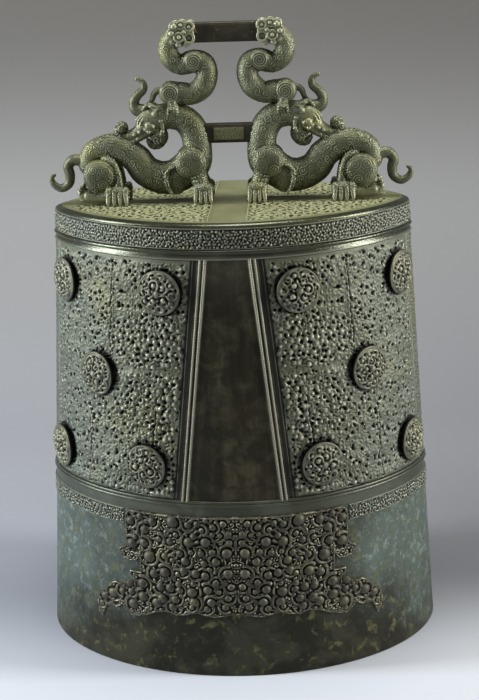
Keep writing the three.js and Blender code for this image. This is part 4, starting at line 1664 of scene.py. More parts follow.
@dataclass
class Bosses:
    """Twenty round bosses, each a coiled creature in high relief on a disc."""

    plan: WallPlan
    radius: float = 32.5
    neck: float = 26.0
    height: float = 13.0
    edge_height: float = 8.4
    carve_top: float = 4.4
    side_shade: float = 0.27
    middle_bead: tuple[float, float] = (5.6, 4.4)
    # Rings of curled bodies: their number, distance from the middle, bead radius and share of the height
    rings: tuple[tuple[int, float, float, float], ...] = ((5, 12.6, 5.0, 1.0), (10, 22.6, 3.3, 0.66))
    pit_spacing: float = 8.6
    bead_top: float = 4.2
    body: float = 1.9
    body_top: float = 3.4
    pitch: float = 0.7
    columns: int = 84
    face_rows: int = 34

    def face_map(self, seed: int) -> ReliefMap:
        """Relief of one boss: rim thread, middle bead, rings of curled bodies with beads, and deep pits.

        Args:
            seed: Which variant.

        Returns:
            Square relief map, the boss in its middle.
        """
        rng = np.random.default_rng(seed)
        relief = ReliefMap(2 * self.radius, 2 * self.radius, self.pitch)
        middle = np.array([self.radius, self.radius])
        around = np.linspace(0, FULL, 260)
        rim = middle + (self.radius - 1.8) * np.column_stack([np.cos(around), np.sin(around)])
        relief.thread(rim, 1.0, 0.8)
        relief.stamp(middle, *self.middle_bead)
        for ring in self.rings:
            self.curls(relief, middle, *ring, rng)
        pits = scattered(2 * self.radius, 2 * self.radius, self.pit_spacing, 0.4, rng)
        away = np.hypot(*(pits - middle).T)
        pits = pits[(away < self.radius - 4.5) & (away > 6.5)]
        relief.stamp(pits, rng.uniform(1.3, 2.4, len(pits)), rng.uniform(-6.5, -4.0, len(pits)), 1.0)
        return relief

    def curls(
        self, relief: ReliefMap, middle: Points, count: int, away: float, radius: float, tall: float,
        rng: np.random.Generator,
    ) -> None:
        """Raises a ring of curled bodies, each a bead inside a hook that runs out in a tail.

        Args:
            relief: Map of the boss.
            middle: Its middle.
            count: Number of bodies.
            away: Their distance from the middle.
            radius: Radius of a bead.
            tall: Height of the bodies, as a share of the tallest.
            rng: Source of the variation.
        """
        first = rng.uniform(0, FULL)
        for index in range(count):
            angle = first + FULL * (index + rng.uniform(-0.2, 0.2)) / count
            centre = middle + (away + rng.uniform(-1.2, 1.2)) * np.array([math.cos(angle), math.sin(angle)])
            size = radius * rng.uniform(0.75, 1.1)
            share = np.linspace(0, 1, 50)
            turned = rng.uniform(0, FULL) + (1 if index % 2 else -1) * rng.uniform(3.2, 5.0) * share
            way = np.column_stack([np.cos(turned), np.sin(turned)])
            hook = centre + (size + self.body + 2.2 * share**2)[:, None] * way
            relief.thread(hook, self.body - 0.9 * share, tall * (self.body_top - 1.0 * share))
            relief.stamp(centre + (size + 0.1) * way[::5], 1.0, -1.3, 1.0)
            relief.stamp(centre, size, tall * self.bead_top * rng.uniform(0.7, 1.1), 0.7)

    def boss(self, name: str, turn: float, height: float, relief: ReliefMap, spin: float) -> bpy.types.Object:
        """One boss, standing square on the wall.

        Args:
            name: Name of the piece.
            turn: Turn of its centre about the bell's axis.
            height: Height of its centre.
            relief: Relief of its face.
            spin: How far the relief is turned.

        Returns:
            The boss.
        """
        edge = self.edge_height
        side = [(self.neck, -4.0), (self.neck, 2.6), (self.neck + 3.0, 3.0), (self.radius - 0.7, 3.8)]
        side += [(self.radius, 4.8), (self.radius, edge - 1.6), (self.radius - 0.5, edge - 0.4)]
        face = np.linspace(self.radius - 1.2, 0.02, self.face_rows)
        radii = np.concatenate([[r for r, _ in side], face])[:, None]
        dome = edge + (self.height - edge) * (1 - (face / self.radius) ** 2) ** 0.8 - 1.2
        angles = np.linspace(0, FULL, self.columns, endpoint=False)[None, :]
        across, up = radii * np.cos(angles), radii * np.sin(angles)
        turned = [np.cos(spin) * across - np.sin(spin) * up, np.sin(spin) * across + np.cos(spin) * up]
        places = (turned[0] + self.radius, turned[1] + self.radius)
        carved = relief.sample(relief.heights, *places)
        mask = relief.sample(relief.mask(4.0, 0.26), *places)
        # The side wall and the neck get one low mask: painted shade under the disc's edge.
        mask[: len(side) - 1] = self.side_shade
        out = np.concatenate([[z for _, z in side], dome])[:, None] + np.zeros_like(across)
        out[len(side):] += np.minimum(carved[len(side):], self.carve_top)
        normal = self.plan.normal(turn, height)
        tangent = np.array([-normal[1], normal[0], 0.0])
        points = self.plan.point(turn, height) + across[..., None] * tangent
        points = points + up[..., None] * np.array([0.0, 0.0, 1.0]) + out[..., None] * normal
        return grid_mesh(name, points, mask, closed=True)

    def build(self, workshop: Workshop) -> None:
        """Builds every boss from three variants, turned differently.

        Args:
            workshop: Where the pieces are dressed and placed.
        """
        plan = self.plan
        variants = [self.face_map(seed) for seed in (41, 42, 43)]
        for face in Face:
            for side in Side:
                for index, (place, share) in enumerate(BOSS_PLACES):
                    height = plan.field_height(share)
                    turn = float(plan.turn_at(side.value * place * float(plan.at(height)[0]), height, face))
                    name = f"{face.label}_{side.label}_{index + 1}"
                    spin = side.value * (0.9 + 1.3 * index)
                    piece = self.boss(f"coiled_boss_{name}", turn, height, variants[index % 3], spin)
                    workshop.place(piece, BOSS, Slot.BOSS, f"boss_{name}")


STRIKE_OUTLINE = (
    (0.0, 1.0), (0.95, 1.0), (0.985, 0.98), (1.0, 0.93), (1.0, 0.64), (1.03, 0.6), (1.065, 0.59),
    (1.075, 0.55), (1.04, 0.5), (0.98, 0.48), (0.92, 0.49), (0.875, 0.56), (0.875, 0.365), (0.975, 0.365),
    (0.975, 0.325), (0.94, 0.3), (0.935, 0.22), (0.96, 0.245), (1.0, 0.25), (1.035, 0.22), (1.05, 0.17),
    (1.08, 0.195), (1.13, 0.205), (1.18, 0.175), (1.215, 0.11), (1.26, 0.075), (1.305, 0.01),
    (1.32, -0.07), (1.31, -0.15), (1.285, -0.205), (1.265, -0.14), (1.24, -0.08), (1.18, -0.065),
    (1.13, -0.06), (1.075, -0.02), (1.03, -0.07), (0.98, -0.11), (0.91, -0.095), (0.84, -0.075),
    (0.75, -0.03), (0.65, 0.0), (0.56, -0.035), (0.47, -0.02), (0.38, 0.01), (0.29, -0.015), (0.2, -0.03),
    (0.1, -0.01), (0.0, 0.0),
)

STRIKE_BEADS = (
    (17, 234, 5), (32, 229, 5), (42, 239, 4), (55, 234, 4), (68, 231, 5), (90, 234, 8), (120, 231, 6),
    (138, 236, 5), (153, 227, 6), (10, 219, 5), (22, 217, 4), (33, 218, 4), (48, 224, 4), (60, 214, 5),
    (86, 215, 4), (132, 217, 6), (143, 210, 4), (9, 206, 5), (43, 206, 7), (67, 205, 7), (95, 204, 5),
    (111, 206, 4), (134, 197, 6), (147, 203, 4), (152, 193, 7), (13, 190, 7), (34, 191, 5), (50, 189, 5),
    (65, 190, 4), (81, 187, 5), (103, 181, 5), (29, 177, 6), (46, 174, 5), (73, 176, 6), (92, 176, 4),
    (126, 177, 8), (12, 159, 7), (38, 165, 4), (45, 155, 6), (59, 158, 6), (76, 161, 6), (85, 155, 4),
    (104, 156, 7), (120, 152, 6), (30, 145, 5), (63, 142, 4), (84, 140, 5), (8, 139, 5), (26, 131, 4),
    (42, 134, 6), (65, 129, 7), (83, 131, 5), (97, 133, 6), (111, 133, 6), (138, 134, 7), (158, 131, 6),
    (13, 122, 5), (37, 115, 6), (62, 114, 7), (90, 116, 6), (109, 115, 7), (138, 114, 7), (156, 118, 5),
    (170, 115, 5), (17, 108, 5), (44, 104, 5), (66, 106, 4), (94, 104, 6), (117, 107, 7), (111, 97, 4),
    (154, 99, 7), (185, 109, 7), (199, 100, 6), (205, 87, 4),
)


@dataclass
class StrikePanels:
    """Raised panels where the bell is struck: round beads and hooked threads inside a threaded edge."""

    plan: WallPlan
    half_width: float = 160.0
    foot: float = 97.0
    height: float = 145.0
    pitch: float = 0.9
    margin: float = 4.0
    ground: float = 0.4
    edge_top: float = 4.2
    body_top: float = 4.0
    bead_foot: float = 3.2
    bead_share: float = 0.6
    bead_swell: float = 1.18
    bead_fullness: float = 0.55
    fill_spacing: float = 7.5
    fill_below: float = 1.7
    seed: int = 61

    def outline(self) -> Points:
        """Closed outline of the panel in x and height.

        Returns:
            Rows of x and height.
        """
        right = np.array(STRIKE_OUTLINE) * [self.half_width, self.height] + [0, self.foot]
        left = right[1:-1][::-1] * [-1, 1]
        return np.concatenate([right, left])

    @staticmethod
    def edge_distance(x: Points, z: Points, outline: Points) -> Points:
        """Distance to the outline.

        Args:
            x: Places along X.
            z: Heights.
            outline: Closed outline, as rows of x and height.

        Returns:
            Distances, below 0 outside the outline.
        """
        away = np.full(x.shape, np.inf)
        inside = np.zeros(x.shape, dtype=bool)
        for start, end in zip(outline, np.roll(outline, -1, axis=0)):
            along = end - start
            share = ((x - start[0]) * along[0] + (z - start[1]) * along[1]) / max(along @ along, 1e-9)
            share = np.clip(share, 0, 1)
            sideways, upwards = x - start[0] - share * along[0], z - start[1] - share * along[1]
            away = np.minimum(away, np.hypot(sideways, upwards))
            crosses = (start[1] > z) != (end[1] > z)
            if along[1] != 0:
                inside ^= crosses & (x < start[0] + (z - start[1]) * along[0] / along[1])
        return np.where(inside, away, -away)

    def relief(self, outline: Points) -> ReliefMap:
        """Relief of the panel, alike on both sides of its middle.

        Args:
            outline: Closed outline of the panel.

        Returns:
            The relief.
        """
        low = outline.min(axis=0) - self.margin
        high = outline.max(axis=0) + self.margin
        relief = ReliefMap(*(high - low), self.pitch)
        rng = np.random.default_rng(self.seed)
        beads = np.array(STRIKE_BEADS, dtype=float)
        self.bodies(relief, beads, low, rng)
        for x, z, radius in beads:
            self.coil(relief, np.array([x, z]), radius * self.bead_swell, low, rng)
        self.fill(relief, rng)
        edge = np.concatenate([outline, outline[:1]])
        run = np.concatenate([[0], np.cumsum(np.hypot(*np.diff(edge, axis=0).T))])
        even = np.arange(0, run[-1], 0.5)
        route = np.column_stack([np.interp(even, run, edge[:, 0]), np.interp(even, run, edge[:, 1])])
        relief.thread(route - low, 1.7, self.edge_top)
        return relief

    def bodies(self, relief: ReliefMap, beads: Points, low: Points, rng: np.random.Generator) -> None:
        """Raises arched bodies that run from each bead to its nearest neighbours.

        Args:
            relief: Map of the panel.
            beads: Rows of x, height and radius.
            low: Lowest x and height of the map.
            rng: Source of the variation.
        """
        for index, (x, z, _) in enumerate(beads):
            away = np.hypot(beads[:, 0] - x, beads[:, 1] - z)
            for other in np.argsort(away)[1:3]:
                start, end = beads[index, :2], beads[other, :2]
                share = np.linspace(0, 1, 60)[:, None]
                along = end - start
                across = np.array([-along[1], along[0]]) * rng.uniform(-0.45, 0.45)
                route = start + along * share + across * np.sin(math.pi * share)
                for mirror in (-1, 1):
                    relief.thread(route * [mirror, 1] - low, rng.uniform(2.0, 2.8), self.body_top)

    def coil(
        self, relief: ReliefMap, place: Points, radius: float, low: Points, rng: np.random.Generator
    ) -> None:
        """Raises a round bead inside a thick body that winds round it and runs out in a tail, on both halves.

        Args:
            relief: Map of the panel.
            place: The bead's x and height.
            radius: The bead's radius.
            low: Lowest x and height of the map.
            rng: Source of the variation.
        """
        share = np.linspace(0, 1, 90)
        first, hand = rng.uniform(0, FULL), rng.choice([-1.0, 1.0])
        angles = first + hand * rng.uniform(2.6, 4.0) * share
        reach = radius + 3.0 + rng.uniform(2.0, 6.0) * share**2
        hook = np.column_stack([reach * np.cos(angles), reach * np.sin(angles)])
        girth = 3.7 - 2.3 * share
        top = self.body_top + 1.2 - 1.6 * share
        groove = (radius + 0.3) * np.column_stack([np.cos(angles), np.sin(angles)])[::6]
        for mirror in (-1, 1):
            centre = place * [mirror, 1] - low
            relief.thread(centre + hook * [mirror, 1], girth, top)
            relief.stamp(centre + groove * [mirror, 1], 1.5, -2.0, 1.0)
            relief.stamp(centre, radius, self.bead_foot + self.bead_share * radius, self.bead_fullness)

    def fill(self, relief: ReliefMap, rng: np.random.Generator) -> None:
        """Raises small hooked curls wherever bare ground is left, alike on both halves.

        Args:
            relief: Map of the panel.
            rng: Source of the variation.
        """
        for site in scattered(relief.width / 2, relief.height, self.fill_spacing, 0.3, rng):
            if relief.sample(relief.blurred(2.5), *site) > self.fill_below:
                continue
            route = scroll_route(site, rng.uniform(3.6, 5.0), 0.85, rng.uniform(0, FULL), 1)
            for mirror in (0, 1):
                placed = route * [1 - 2 * mirror, 1] + [relief.width * mirror, 0]
                relief.thread(placed, 1.5, self.body_top)
                relief.stamp(placed[-1], 2.2, self.body_top + 0.6)

    def build(self, workshop: Workshop) -> None:
        """Builds the panel and lays it on both faces.

        Args:
            workshop: Where the pieces are dressed and placed.
        """
        plan = self.plan
        outline = self.outline()
        relief = self.relief(outline)
        low = outline.min(axis=0) - self.margin
        x = low[0] + relief.across[None, :] + np.zeros((relief.rows, 1))
        z = low[1] + relief.up[:, None] + np.zeros((1, relief.columns))
        away = self.edge_distance(x, z, outline)
        room = plan.mouth_half_depth - plan.at(z)[1]
        heights = np.maximum(relief.heights, self.ground) * np.minimum(1, (room - 0.1) / 7.8)
        # Gaps and low flanks between the bodies are painted nearly black, dirt with painted shade; thread
        # tops are painted light, worn metal with painted highlight.
        mask = np.minimum(relief.mask(7.0, 0.22), 0.61) + relief.mask(1.8, 0.28) - 0.55
        mask = np.clip(mask.ravel(), 0, 1)
        edge = smooth_step(-1.7, -0.9, away)
        heights = heights * edge + EDGE_SINK * (1 - edge)
        quads = grid_quads(relief.rows, relief.columns)
        quads = quads[(away.ravel()[quads] > -2.4).any(axis=1)]
        for face in Face:
            points = plan.point(plan.turn_at(x, z, face), z, heights).reshape(-1, 3)
            facing = quads if face is Face.FRONT else quads[:, ::-1]
            piece = make_mesh(f"strike_relief_{face.label}", *without_loose(points, facing, mask))
            workshop.place(piece, STRIKE, Slot.PANEL, f"strike_panel_{face.label}")


# Solid forms that are fused into one cast skin

Solid = tuple[Points, Points]


def closed_skin(rings: Points, start: Points, end: Points) -> Solid:
    """Triangles over closed rings with a point at each end.

    Args:
        rings: Array of rings, each with the same number of points.
        start: Point that closes the first ring.
        end: Point that closes the last ring.

    Returns:
        Points and triangles.
    """
    rows, columns = rings.shape[:2]
    quads = grid_quads(rows, columns, closed=True)
    triangles = [quads[:, [0, 1, 2]], quads[:, [0, 2, 3]]]
    ring = np.arange(columns)
    after = (ring + 1) % columns
    first, last = rows * columns, rows * columns + 1
    triangles.append(np.column_stack([after, ring, np.full(columns, first)]))
    base = (rows - 1) * columns
    triangles.append(np.column_stack([base + ring, base + after, np.full(columns, last)]))
    return np.concatenate([rings.reshape(-1, 3), [start], [end]]), np.concatenate(triangles)


def curve_through(stations: Points, steps: int) -> Points:
    """Smooth curve through rows of numbers.

    Args:
        stations: The rows.
        steps: Points for each span between two rows.

    Returns:
        Rows along the curve.
    """
    rows = np.vstack([2 * stations[0] - stations[1], stations, 2 * stations[-1] - stations[-2]])
    share = np.linspace(0, 1, steps, endpoint=False)[:, None]
    spans = []
    for a, b, c, d in zip(rows[:-3], rows[1:-2], rows[2:-1], rows[3:]):
        bend, twist = 2 * a - 5 * b + 4 * c - d, 3 * b - a - 3 * c + d
        spans.append(0.5 * (2 * b + (c - a) * share + bend * share**2 + twist * share**3))
    return np.vstack([*spans, stations[-1]])


@dataclass(frozen=True)
class Limb:
    """Round or oval limb along a curve: rows of x, y, z and girth, in millimetres."""

    stations: tuple[tuple[float, float, float, float], ...]
    flatness: float = 1.0
    sides: int = 26

    def solid(self) -> Solid:
        """The limb's closed skin, with rounded ends.

        Returns:
            Points and triangles.
        """
        curve = curve_through(np.array(self.stations, dtype=float), 10)
        centre, girth = curve[:, :3], np.maximum(curve[:, 3], 0.4)
        ahead = np.gradient(centre, axis=0)
        ahead /= np.linalg.norm(ahead, axis=1, keepdims=True)
        across = np.zeros_like(centre)
        first = np.array([0.0, 1.0, 0.0]) if abs(ahead[0, 1]) < 0.8 else np.array([1.0, 0.0, 0.0])
        for index, way in enumerate(ahead):
            first = first - (first @ way) * way
            first = first / np.linalg.norm(first)
            across[index] = first
        upright = np.cross(ahead, across)
        angles = np.linspace(0, FULL, self.sides, endpoint=False)
        ring = np.cos(angles)[None, :, None] * across[:, None, :] * self.flatness
        ring = ring + np.sin(angles)[None, :, None] * upright[:, None, :]
        rings = centre[:, None, :] + ring * girth[:, None, None]
        caps = []
        for place, sign in ((0, -1.0), (-1, 1.0)):
            turned = np.linspace(0, math.pi / 2, 5)[1:-1]
            reach = sign * girth[place] * np.sin(turned)[:, None, None] * ahead[place][None, None, :]
            bent = ring[place][None] * girth[place] * np.cos(turned)[:, None, None]
            caps.append(centre[place] + reach + bent)
        rings = np.concatenate([caps[0][::-1], rings, caps[1]])
        start = centre[0] - ahead[0] * girth[0]
        end = centre[-1] + ahead[-1] * girth[-1]
        return closed_skin(rings, start, end)


def ball(centre: Place, radii: Place, box: float = 1.0) -> Solid:
    """Ellipsoid with its axis along Y.

    Args:
        centre: Its centre.
        radii: Its radii along X, Y and Z.
        box: 1 for an ellipsoid, less for a disc with rounded edges.

    Returns:
        Points and triangles.
    """
    turns = np.linspace(-math.pi / 2, math.pi / 2, 20)[1:-1, None]
    angles = np.linspace(0, FULL, 36, endpoint=False)[None, :]
    reach, depth = np.cos(turns) ** box, np.sign(turns) * np.abs(np.sin(turns)) ** box
    x, y, z = (middle + radius * share for middle, radius, share in zip(
        centre, radii, (reach * np.sin(angles), depth + 0 * angles, reach * np.cos(angles))
    ))
    tip = np.array([0.0, radii[1], 0.0])
    return closed_skin(np.stack([x, y, z], axis=-1), np.array(centre) - tip, np.array(centre) + tip)


def hoop(centre: Place, radius: float | Points, angles: Points, thick: float) -> Solid:
    """Thin round limb bent in an upright plane.

    Args:
        centre: Centre of the bend.
        radius: Radius of the bend, or one for each angle.
        angles: Angles that it runs through, in radians.
        thick: Its own radius.

    Returns:
        Points and triangles.
    """
    x, y, z = centre
    radii = np.broadcast_to(radius, len(angles))
    rows = tuple((x + r * math.cos(a), y, z + r * math.sin(a), thick) for r, a in zip(radii, angles))
    return Limb(rows, sides=10).solid()


def fuse(name: str, solids: list[Solid], voxel: float, rounds: int) -> bpy.types.Mesh:
    """Melts solids into one even skin with soft joints.

    Args:
        name: Name of the mesh.
        solids: Closed solids that overlap.
        voxel: Size of the skin's faces, in millimetres.
        rounds: How often the skin is smoothed.

    Returns:
        The fused mesh.
    """
    counts = np.cumsum([0] + [len(points) for points, _ in solids])
    points = np.concatenate([points for points, _ in solids])
    triangles = np.concatenate([faces + start for (_, faces), start in zip(solids, counts)])
    rough = make_mesh(f"{name}_rough", points, triangles)
    skin = rough.modifiers.new("skin", "REMESH")
    skin.mode = "VOXEL"
    skin.voxel_size = voxel * MM
    graph = bpy.context.evaluated_depsgraph_get()
    mesh = bpy.data.meshes.new_from_object(rough.evaluated_get(graph))
    mesh.name = name
    bpy.data.objects.remove(rough)
    edges = mesh_edges(mesh)
    places = mesh_points(mesh)
    for _ in range(rounds):
        places = places + 0.9 * (spread(places, edges, 1) - places)
        places = places - 0.93 * (spread(places, edges, 1) - places)
    move_points(mesh, places)
    mesh.shade_smooth()
    return mesh


@dataclass(frozen=True)
class Scrollwork:
    """Engraved scrolls that cover a cast body."""

    spacing: float = 8.2
    pitch: float = 3.1
    depth: float = 0.42
    wide_pitch: float = 3.4
    wide_share: float = 0.88
    mask_gain: float = 0.27
    plain_worn_highlight: float = 0.24
    worn_length: float = 11.0
    seed: int = 5

    def centres(self, points: Points, wide: Points) -> Points:
        """Places of the scrolls: the wide ones first, then others as close as the spacing allows.

        Args:
            points: Points of the body.
            wide: Wide scrolls: rows of x, y, z and radius.

        Returns:
            Rows of x, y, z.
        """
        rng = np.random.default_rng(self.seed)
        sparse = points[rng.permutation(len(points))[:9000]]
        free = np.ones(len(sparse), dtype=bool)
        for row in wide:
            free &= np.linalg.norm(sparse - row[:3], axis=1) > row[3] + 0.3 * self.spacing
        found = []
        while free.any():
            place = sparse[int(np.argmax(free))]
            found.append(place)
            free &= np.sum((sparse - place) ** 2, axis=1) > self.spacing**2
        return np.concatenate([wide[:, :3], np.array(found).reshape(-1, 3)])

    @staticmethod
    def grounds(points: Points, centres: Points, wide: Points) -> tuple[Points, Points]:
        """Grounds of the scrolls on a body.

        Args:
            points: Points of the body.
            centres: Places of the scrolls, the wide ones first.
            wide: Wide scrolls: rows of x, y, z and radius.

        Returns:
            Number of the scroll whose ground each point lies in, and how far it is from the next ground.
        """
        own = np.empty(len(points), dtype=int)
        inside = np.empty(len(points))
        small = centres[len(wide):]
        for start in range(0, len(points), 8000):
            part = slice(start, start + 8000)
            block = points[part]
            square = (block**2).sum(1)[:, None] + (small**2).sum(1)[None, :] - 2 * block @ small.T
            two = np.argpartition(square, 1, axis=1)[:, :2]
            values = np.take_along_axis(square, two, axis=1)
            apart = np.linalg.norm(small[two[:, 0]] - small[two[:, 1]], axis=1)
            own[part] = two[np.arange(len(block)), np.argmin(values, axis=1)] + len(wide)
            inside[part] = np.abs(values[:, 1] - values[:, 0]) / (2 * apart)
        for index, row in enumerate(wide):
            room = row[3] - np.linalg.norm(points - row[:3], axis=1)
            inside = np.where(room > 0, room, np.minimum(inside, -room))
            own[room > 0] = index
        return own, inside

    def heights(self, points: Points, normals: Points, fixed: Points) -> Points:
        """Height of the engraving at each point.

        Args:
            points: Points of the body.
            normals: Directions out of the body there.
            fixed: Wide scrolls: rows of x, y, z and radius.

        Returns:
            Heights from minus the depth to plus the depth.
        """
        centres = self.centres(points, fixed)
        tree = KDTree(len(points))
        for index, place in enumerate(points):
            tree.insert(place, index)
        tree.balance()
        facing = np.array([normals[tree.find(place)[1]] for place in centres])
        own, inside = self.grounds(points, centres, fixed)
        axis = np.where(np.abs(facing[:, 2:]) < 0.8, [[0.0, 0.0, 1.0]], [[1.0, 0.0, 0.0]])
        right = np.cross(facing, axis)
        right /= np.linalg.norm(right, axis=1, keepdims=True)
        upright = np.cross(right, facing)
        offset = points - centres[own]
        u = np.einsum("ij,ij->i", offset, right[own])
        v = np.einsum("ij,ij->i", offset, upright[own])
        rng = np.random.default_rng(self.seed + 1)
        hand = rng.choice([-1.0, 1.0], len(centres))[own]
        start = rng.uniform(0, 1, len(centres))[own]
        stretch = rng.uniform(0.7, 1.35, len(centres))
        stretch = np.where(np.arange(len(centres)) < len(fixed), 1.0, stretch)[own]
        pitch = np.where(own < len(fixed), self.wide_pitch, self.pitch * stretch)
        phase = np.hypot(u * stretch, v) / pitch - hand * np.arctan2(v, u * stretch) / FULL + start
        wave = np.clip(0.45 + 1.8 * np.cos(FULL * phase), -1, 1)
        border = smooth_step(0.0, 1.2, inside)
        x, y, z = (points / self.worn_length).T
        worn = 0.82 + 0.3 * np.sin(x + 1.7 * np.sin(z)) * np.cos(1.3 * z - y)
        worn = worn + 0.14 * np.sin(2.3 * x + 2.9 * z)
        worn = np.clip(worn, 0.3, 1.0) * np.where(own < len(fixed), self.wide_share, 1.0)
        return self.depth * worn * (wave * border - 0.3 * (1 - border))


def carve(mesh: bpy.types.Mesh, work: Scrollwork, fixed: Points, plain: Points | None = None) -> None:
    """Engraves scrolls in a fused mesh and stores its height mask.

    Args:
        mesh: Mesh to engrave.
        work: Kind of scrollwork.
        fixed: Wide scrolls: rows of x, y, z and radius.
        plain: Share of the engraving kept at each point, where some of the body is plain.
    """
    points, edges = mesh_points(mesh), mesh_edges(mesh)
    normals = spread(mesh_normals(mesh), edges, 4)
    normals /= np.maximum(np.linalg.norm(normals, axis=1, keepdims=True), 1e-9)
    form = crease_mask(mesh, 10, 0.24)
    heights = work.heights(points, normals, fixed)
    if plain is not None:
        heights = heights * plain
    move_points(mesh, points + normals * heights[:, None])
    # Plain parts, such as the face and the toes, get a higher mask: worn metal with painted highlight.
    plain_lift = 0.0 if plain is None else work.plain_worn_highlight * (1 - plain)
    set_relief(mesh, form + work.mask_gain * heights / work.depth + plain_lift)


def mirrored(mesh: bpy.types.Mesh, name: str) -> bpy.types.Mesh:
    """Mirror image of a mesh, for the other half of the handle.

    Args:
        mesh: The mesh.
        name: Name of the mirror image.

    Returns:
        The mirror image.
    """
    copy = mesh.copy()
    copy.name = name
    copy.flip_normals()
    move_points(copy, mesh_points(mesh) * [-1, 1, 1])
    return copy


@dataclass
class HandleFrame:
    """Places in the handle: shares of its half width and of its height above the crown."""

    foot: float
    height: float
    half_width: float = 267.0

    @classmethod
    def from_frame(cls, plan: WallPlan) -> "HandleFrame":
        """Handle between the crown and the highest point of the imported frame."""
        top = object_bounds()[1][2] / MM
        return cls(plan.body_height, top - plan.body_height)

    def place(self, x: float, z: float, y: float = 0.0) -> Place:
        """Place from shares of the half width and of the height."""
        return (x * self.half_width, y, self.foot + z * self.height)

    def limb(self, rows: tuple[Place, ...], girth: float, y: float = 0.0, flatness: float = 1.0) -> Solid:
        """Limb in an upright plane.

        Args:
            rows: Rows of x share, z share and girth share.
            girth: The full girth.
            y: Place of the plane.
            flatness: Depth of the limb as a share of its girth.

        Returns:
            Points and triangles.
        """
        return Limb(tuple((*self.place(x, z, y), share * girth) for x, z, share in rows), flatness).solid()

    def bent_limb(self, rows: tuple[tuple[float, ...], ...], flank: int, sides: int = 26) -> Solid:
        """Limb that leaves its plane.

        Args:
            rows: Rows of x share, z share, distance from the middle plane and girth.
            flank: 1 or -1, the side of the middle plane.
            sides: Points round the limb.

        Returns:
            Points and triangles.
        """
        stations = tuple((*self.place(x, z, flank * y), girth) for x, z, y, girth in rows)
        return Limb(stations, sides=sides).solid()

    def both_flanks(self, rows: tuple[Place, ...], away: float) -> Points:
        """Places of wide scrolls on both flanks.

        Args:
            rows: Rows of x share, z share and radius.
            away: Their distance from the middle plane.

        Returns:
            Rows of x, y, z and radius.
        """
        return np.array([
            (*self.place(x, z, flank * away), radius) for x, z, radius in rows for flank in (-1, 1)
        ])


LARGE_BODY = (
    (0.785, 0.217, 0.58), (0.76, 0.286, 0.62), (0.67, 0.315, 0.72), (0.59, 0.295, 0.77), (0.52, 0.246, 0.81),
    (0.47, 0.177, 0.85), (0.385, 0.138, 0.9), (0.295, 0.148, 0.95), (0.205, 0.217, 0.98), (0.18, 0.305, 0.8),
    (0.195, 0.394, 0.78), (0.245, 0.458, 0.75), (0.32, 0.478, 0.7), (0.4, 0.468, 0.72), (0.44, 0.45, 0.68),
    (0.465, 0.42, 0.55),
)
SNOUT = (
    (0.46, 0.414, 0.5), (0.51, 0.382, 0.43), (0.56, 0.36, 0.38), (0.6, 0.375, 0.32), (0.612, 0.405, 0.26),
    (0.598, 0.425, 0.22), (0.58, 0.42, 0.16),
)
JAW = (
    (0.4, 0.443, 0.5), (0.383, 0.404, 0.36), (0.365, 0.364, 0.28), (0.389, 0.327, 0.25), (0.425, 0.32, 0.21),
    (0.447, 0.342, 0.15),
)
HORN = (
    (0.428, 0.483, 0.28), (0.464, 0.506, 0.38), (0.507, 0.521, 0.34), (0.518, 0.559, 0.28),
    (0.498, 0.596, 0.25), (0.465, 0.626, 0.22), (0.46, 0.658, 0.18), (0.478, 0.68, 0.14),
    (0.499, 0.687, 0.1),
)
TAIL = (
    (0.79, 0.222, 0.28), (0.822, 0.24, 0.32), (0.873, 0.247, 0.3), (0.904, 0.211, 0.285),
    (0.896, 0.164, 0.275), (0.904, 0.116, 0.25), (0.947, 0.09, 0.225), (0.988, 0.112, 0.185),
    (1.0, 0.148, 0.14), (0.982, 0.165, 0.09),
)
SMALL_BODY = (
    (0.25, 0.905, 0.5), (0.288, 0.9, 0.56), (0.319, 0.854, 0.53), (0.304, 0.791, 0.55),
    (0.25, 0.759, 0.55), (0.182, 0.774, 0.62), (0.126, 0.757, 0.61), (0.111, 0.695, 0.58),
    (0.138, 0.634, 0.61), (0.196, 0.598, 0.58), (0.256, 0.602, 0.61), (0.314, 0.604, 0.64),
)
SMALL_TAIL = (
    (0.337, 0.608, 0.2), (0.377, 0.621, 0.19), (0.405, 0.602, 0.17), (0.417, 0.571, 0.14),
    (0.437, 0.547, 0.09),
)
BROW = (
    (0.425, 0.54, 0.09), (0.392, 0.528, 0.13), (0.375, 0.49, 0.13), (0.368, 0.45, 0.12), (0.362, 0.41, 0.1),
    (0.372, 0.385, 0.08),
)
CREST = ((0.47, 0.52, 0.08), (0.44, 0.545, 0.11), (0.41, 0.54, 0.12), (0.402, 0.515, 0.09))
LIP = (
    (0.602, 0.375, 0.07), (0.565, 0.34, 0.09), (0.525, 0.348, 0.1), (0.485, 0.372, 0.11), (0.45, 0.392, 0.1),
    (0.42, 0.398, 0.08),
)
WING = (
    (0.315, 0.05, 0.06), (0.34, 0.085, 0.1), (0.352, 0.13, 0.11), (0.347, 0.17, 0.11), (0.328, 0.196, 0.1),
    (0.3, 0.203, 0.07), (0.285, 0.196, 0.05),
)
HIND_LEG = (
    (0.7, 0.268, 8, 6.5), (0.655, 0.243, 15, 6.0), (0.626, 0.19, 19, 5.2), (0.616, 0.13, 20, 6.0),
    (0.622, 0.095, 20, 8.0), (0.63, 0.07, 20, 9.5),
)
FOOT = ((0.79, 0.052, 17, 8.0), (0.72, 0.045, 18, 8.5), (0.64, 0.06, 19, 10.0))
HEEL = ((0.8, 0.045, 16, 6.5), (0.828, 0.06, 16, 5.5), (0.832, 0.092, 16, 3.6), (0.818, 0.115, 16, 1.6))
ARM = ((0.185, 0.16, 12, 14.0), (0.165, 0.11, 15, 12.5), (0.152, 0.075, 19, 11.0))
SMALL_LEG = ((0.312, 0.585, 11, 8.5), (0.304, 0.555, 13, 7.5), (0.3, 0.532, 16, 6.5))
SMALL_TOE = ((0.536, 20, 2.1), (0.522, 24.4, 2.4), (0.5, 24.6, 2.0), (0.484, 23.4, 1.3))


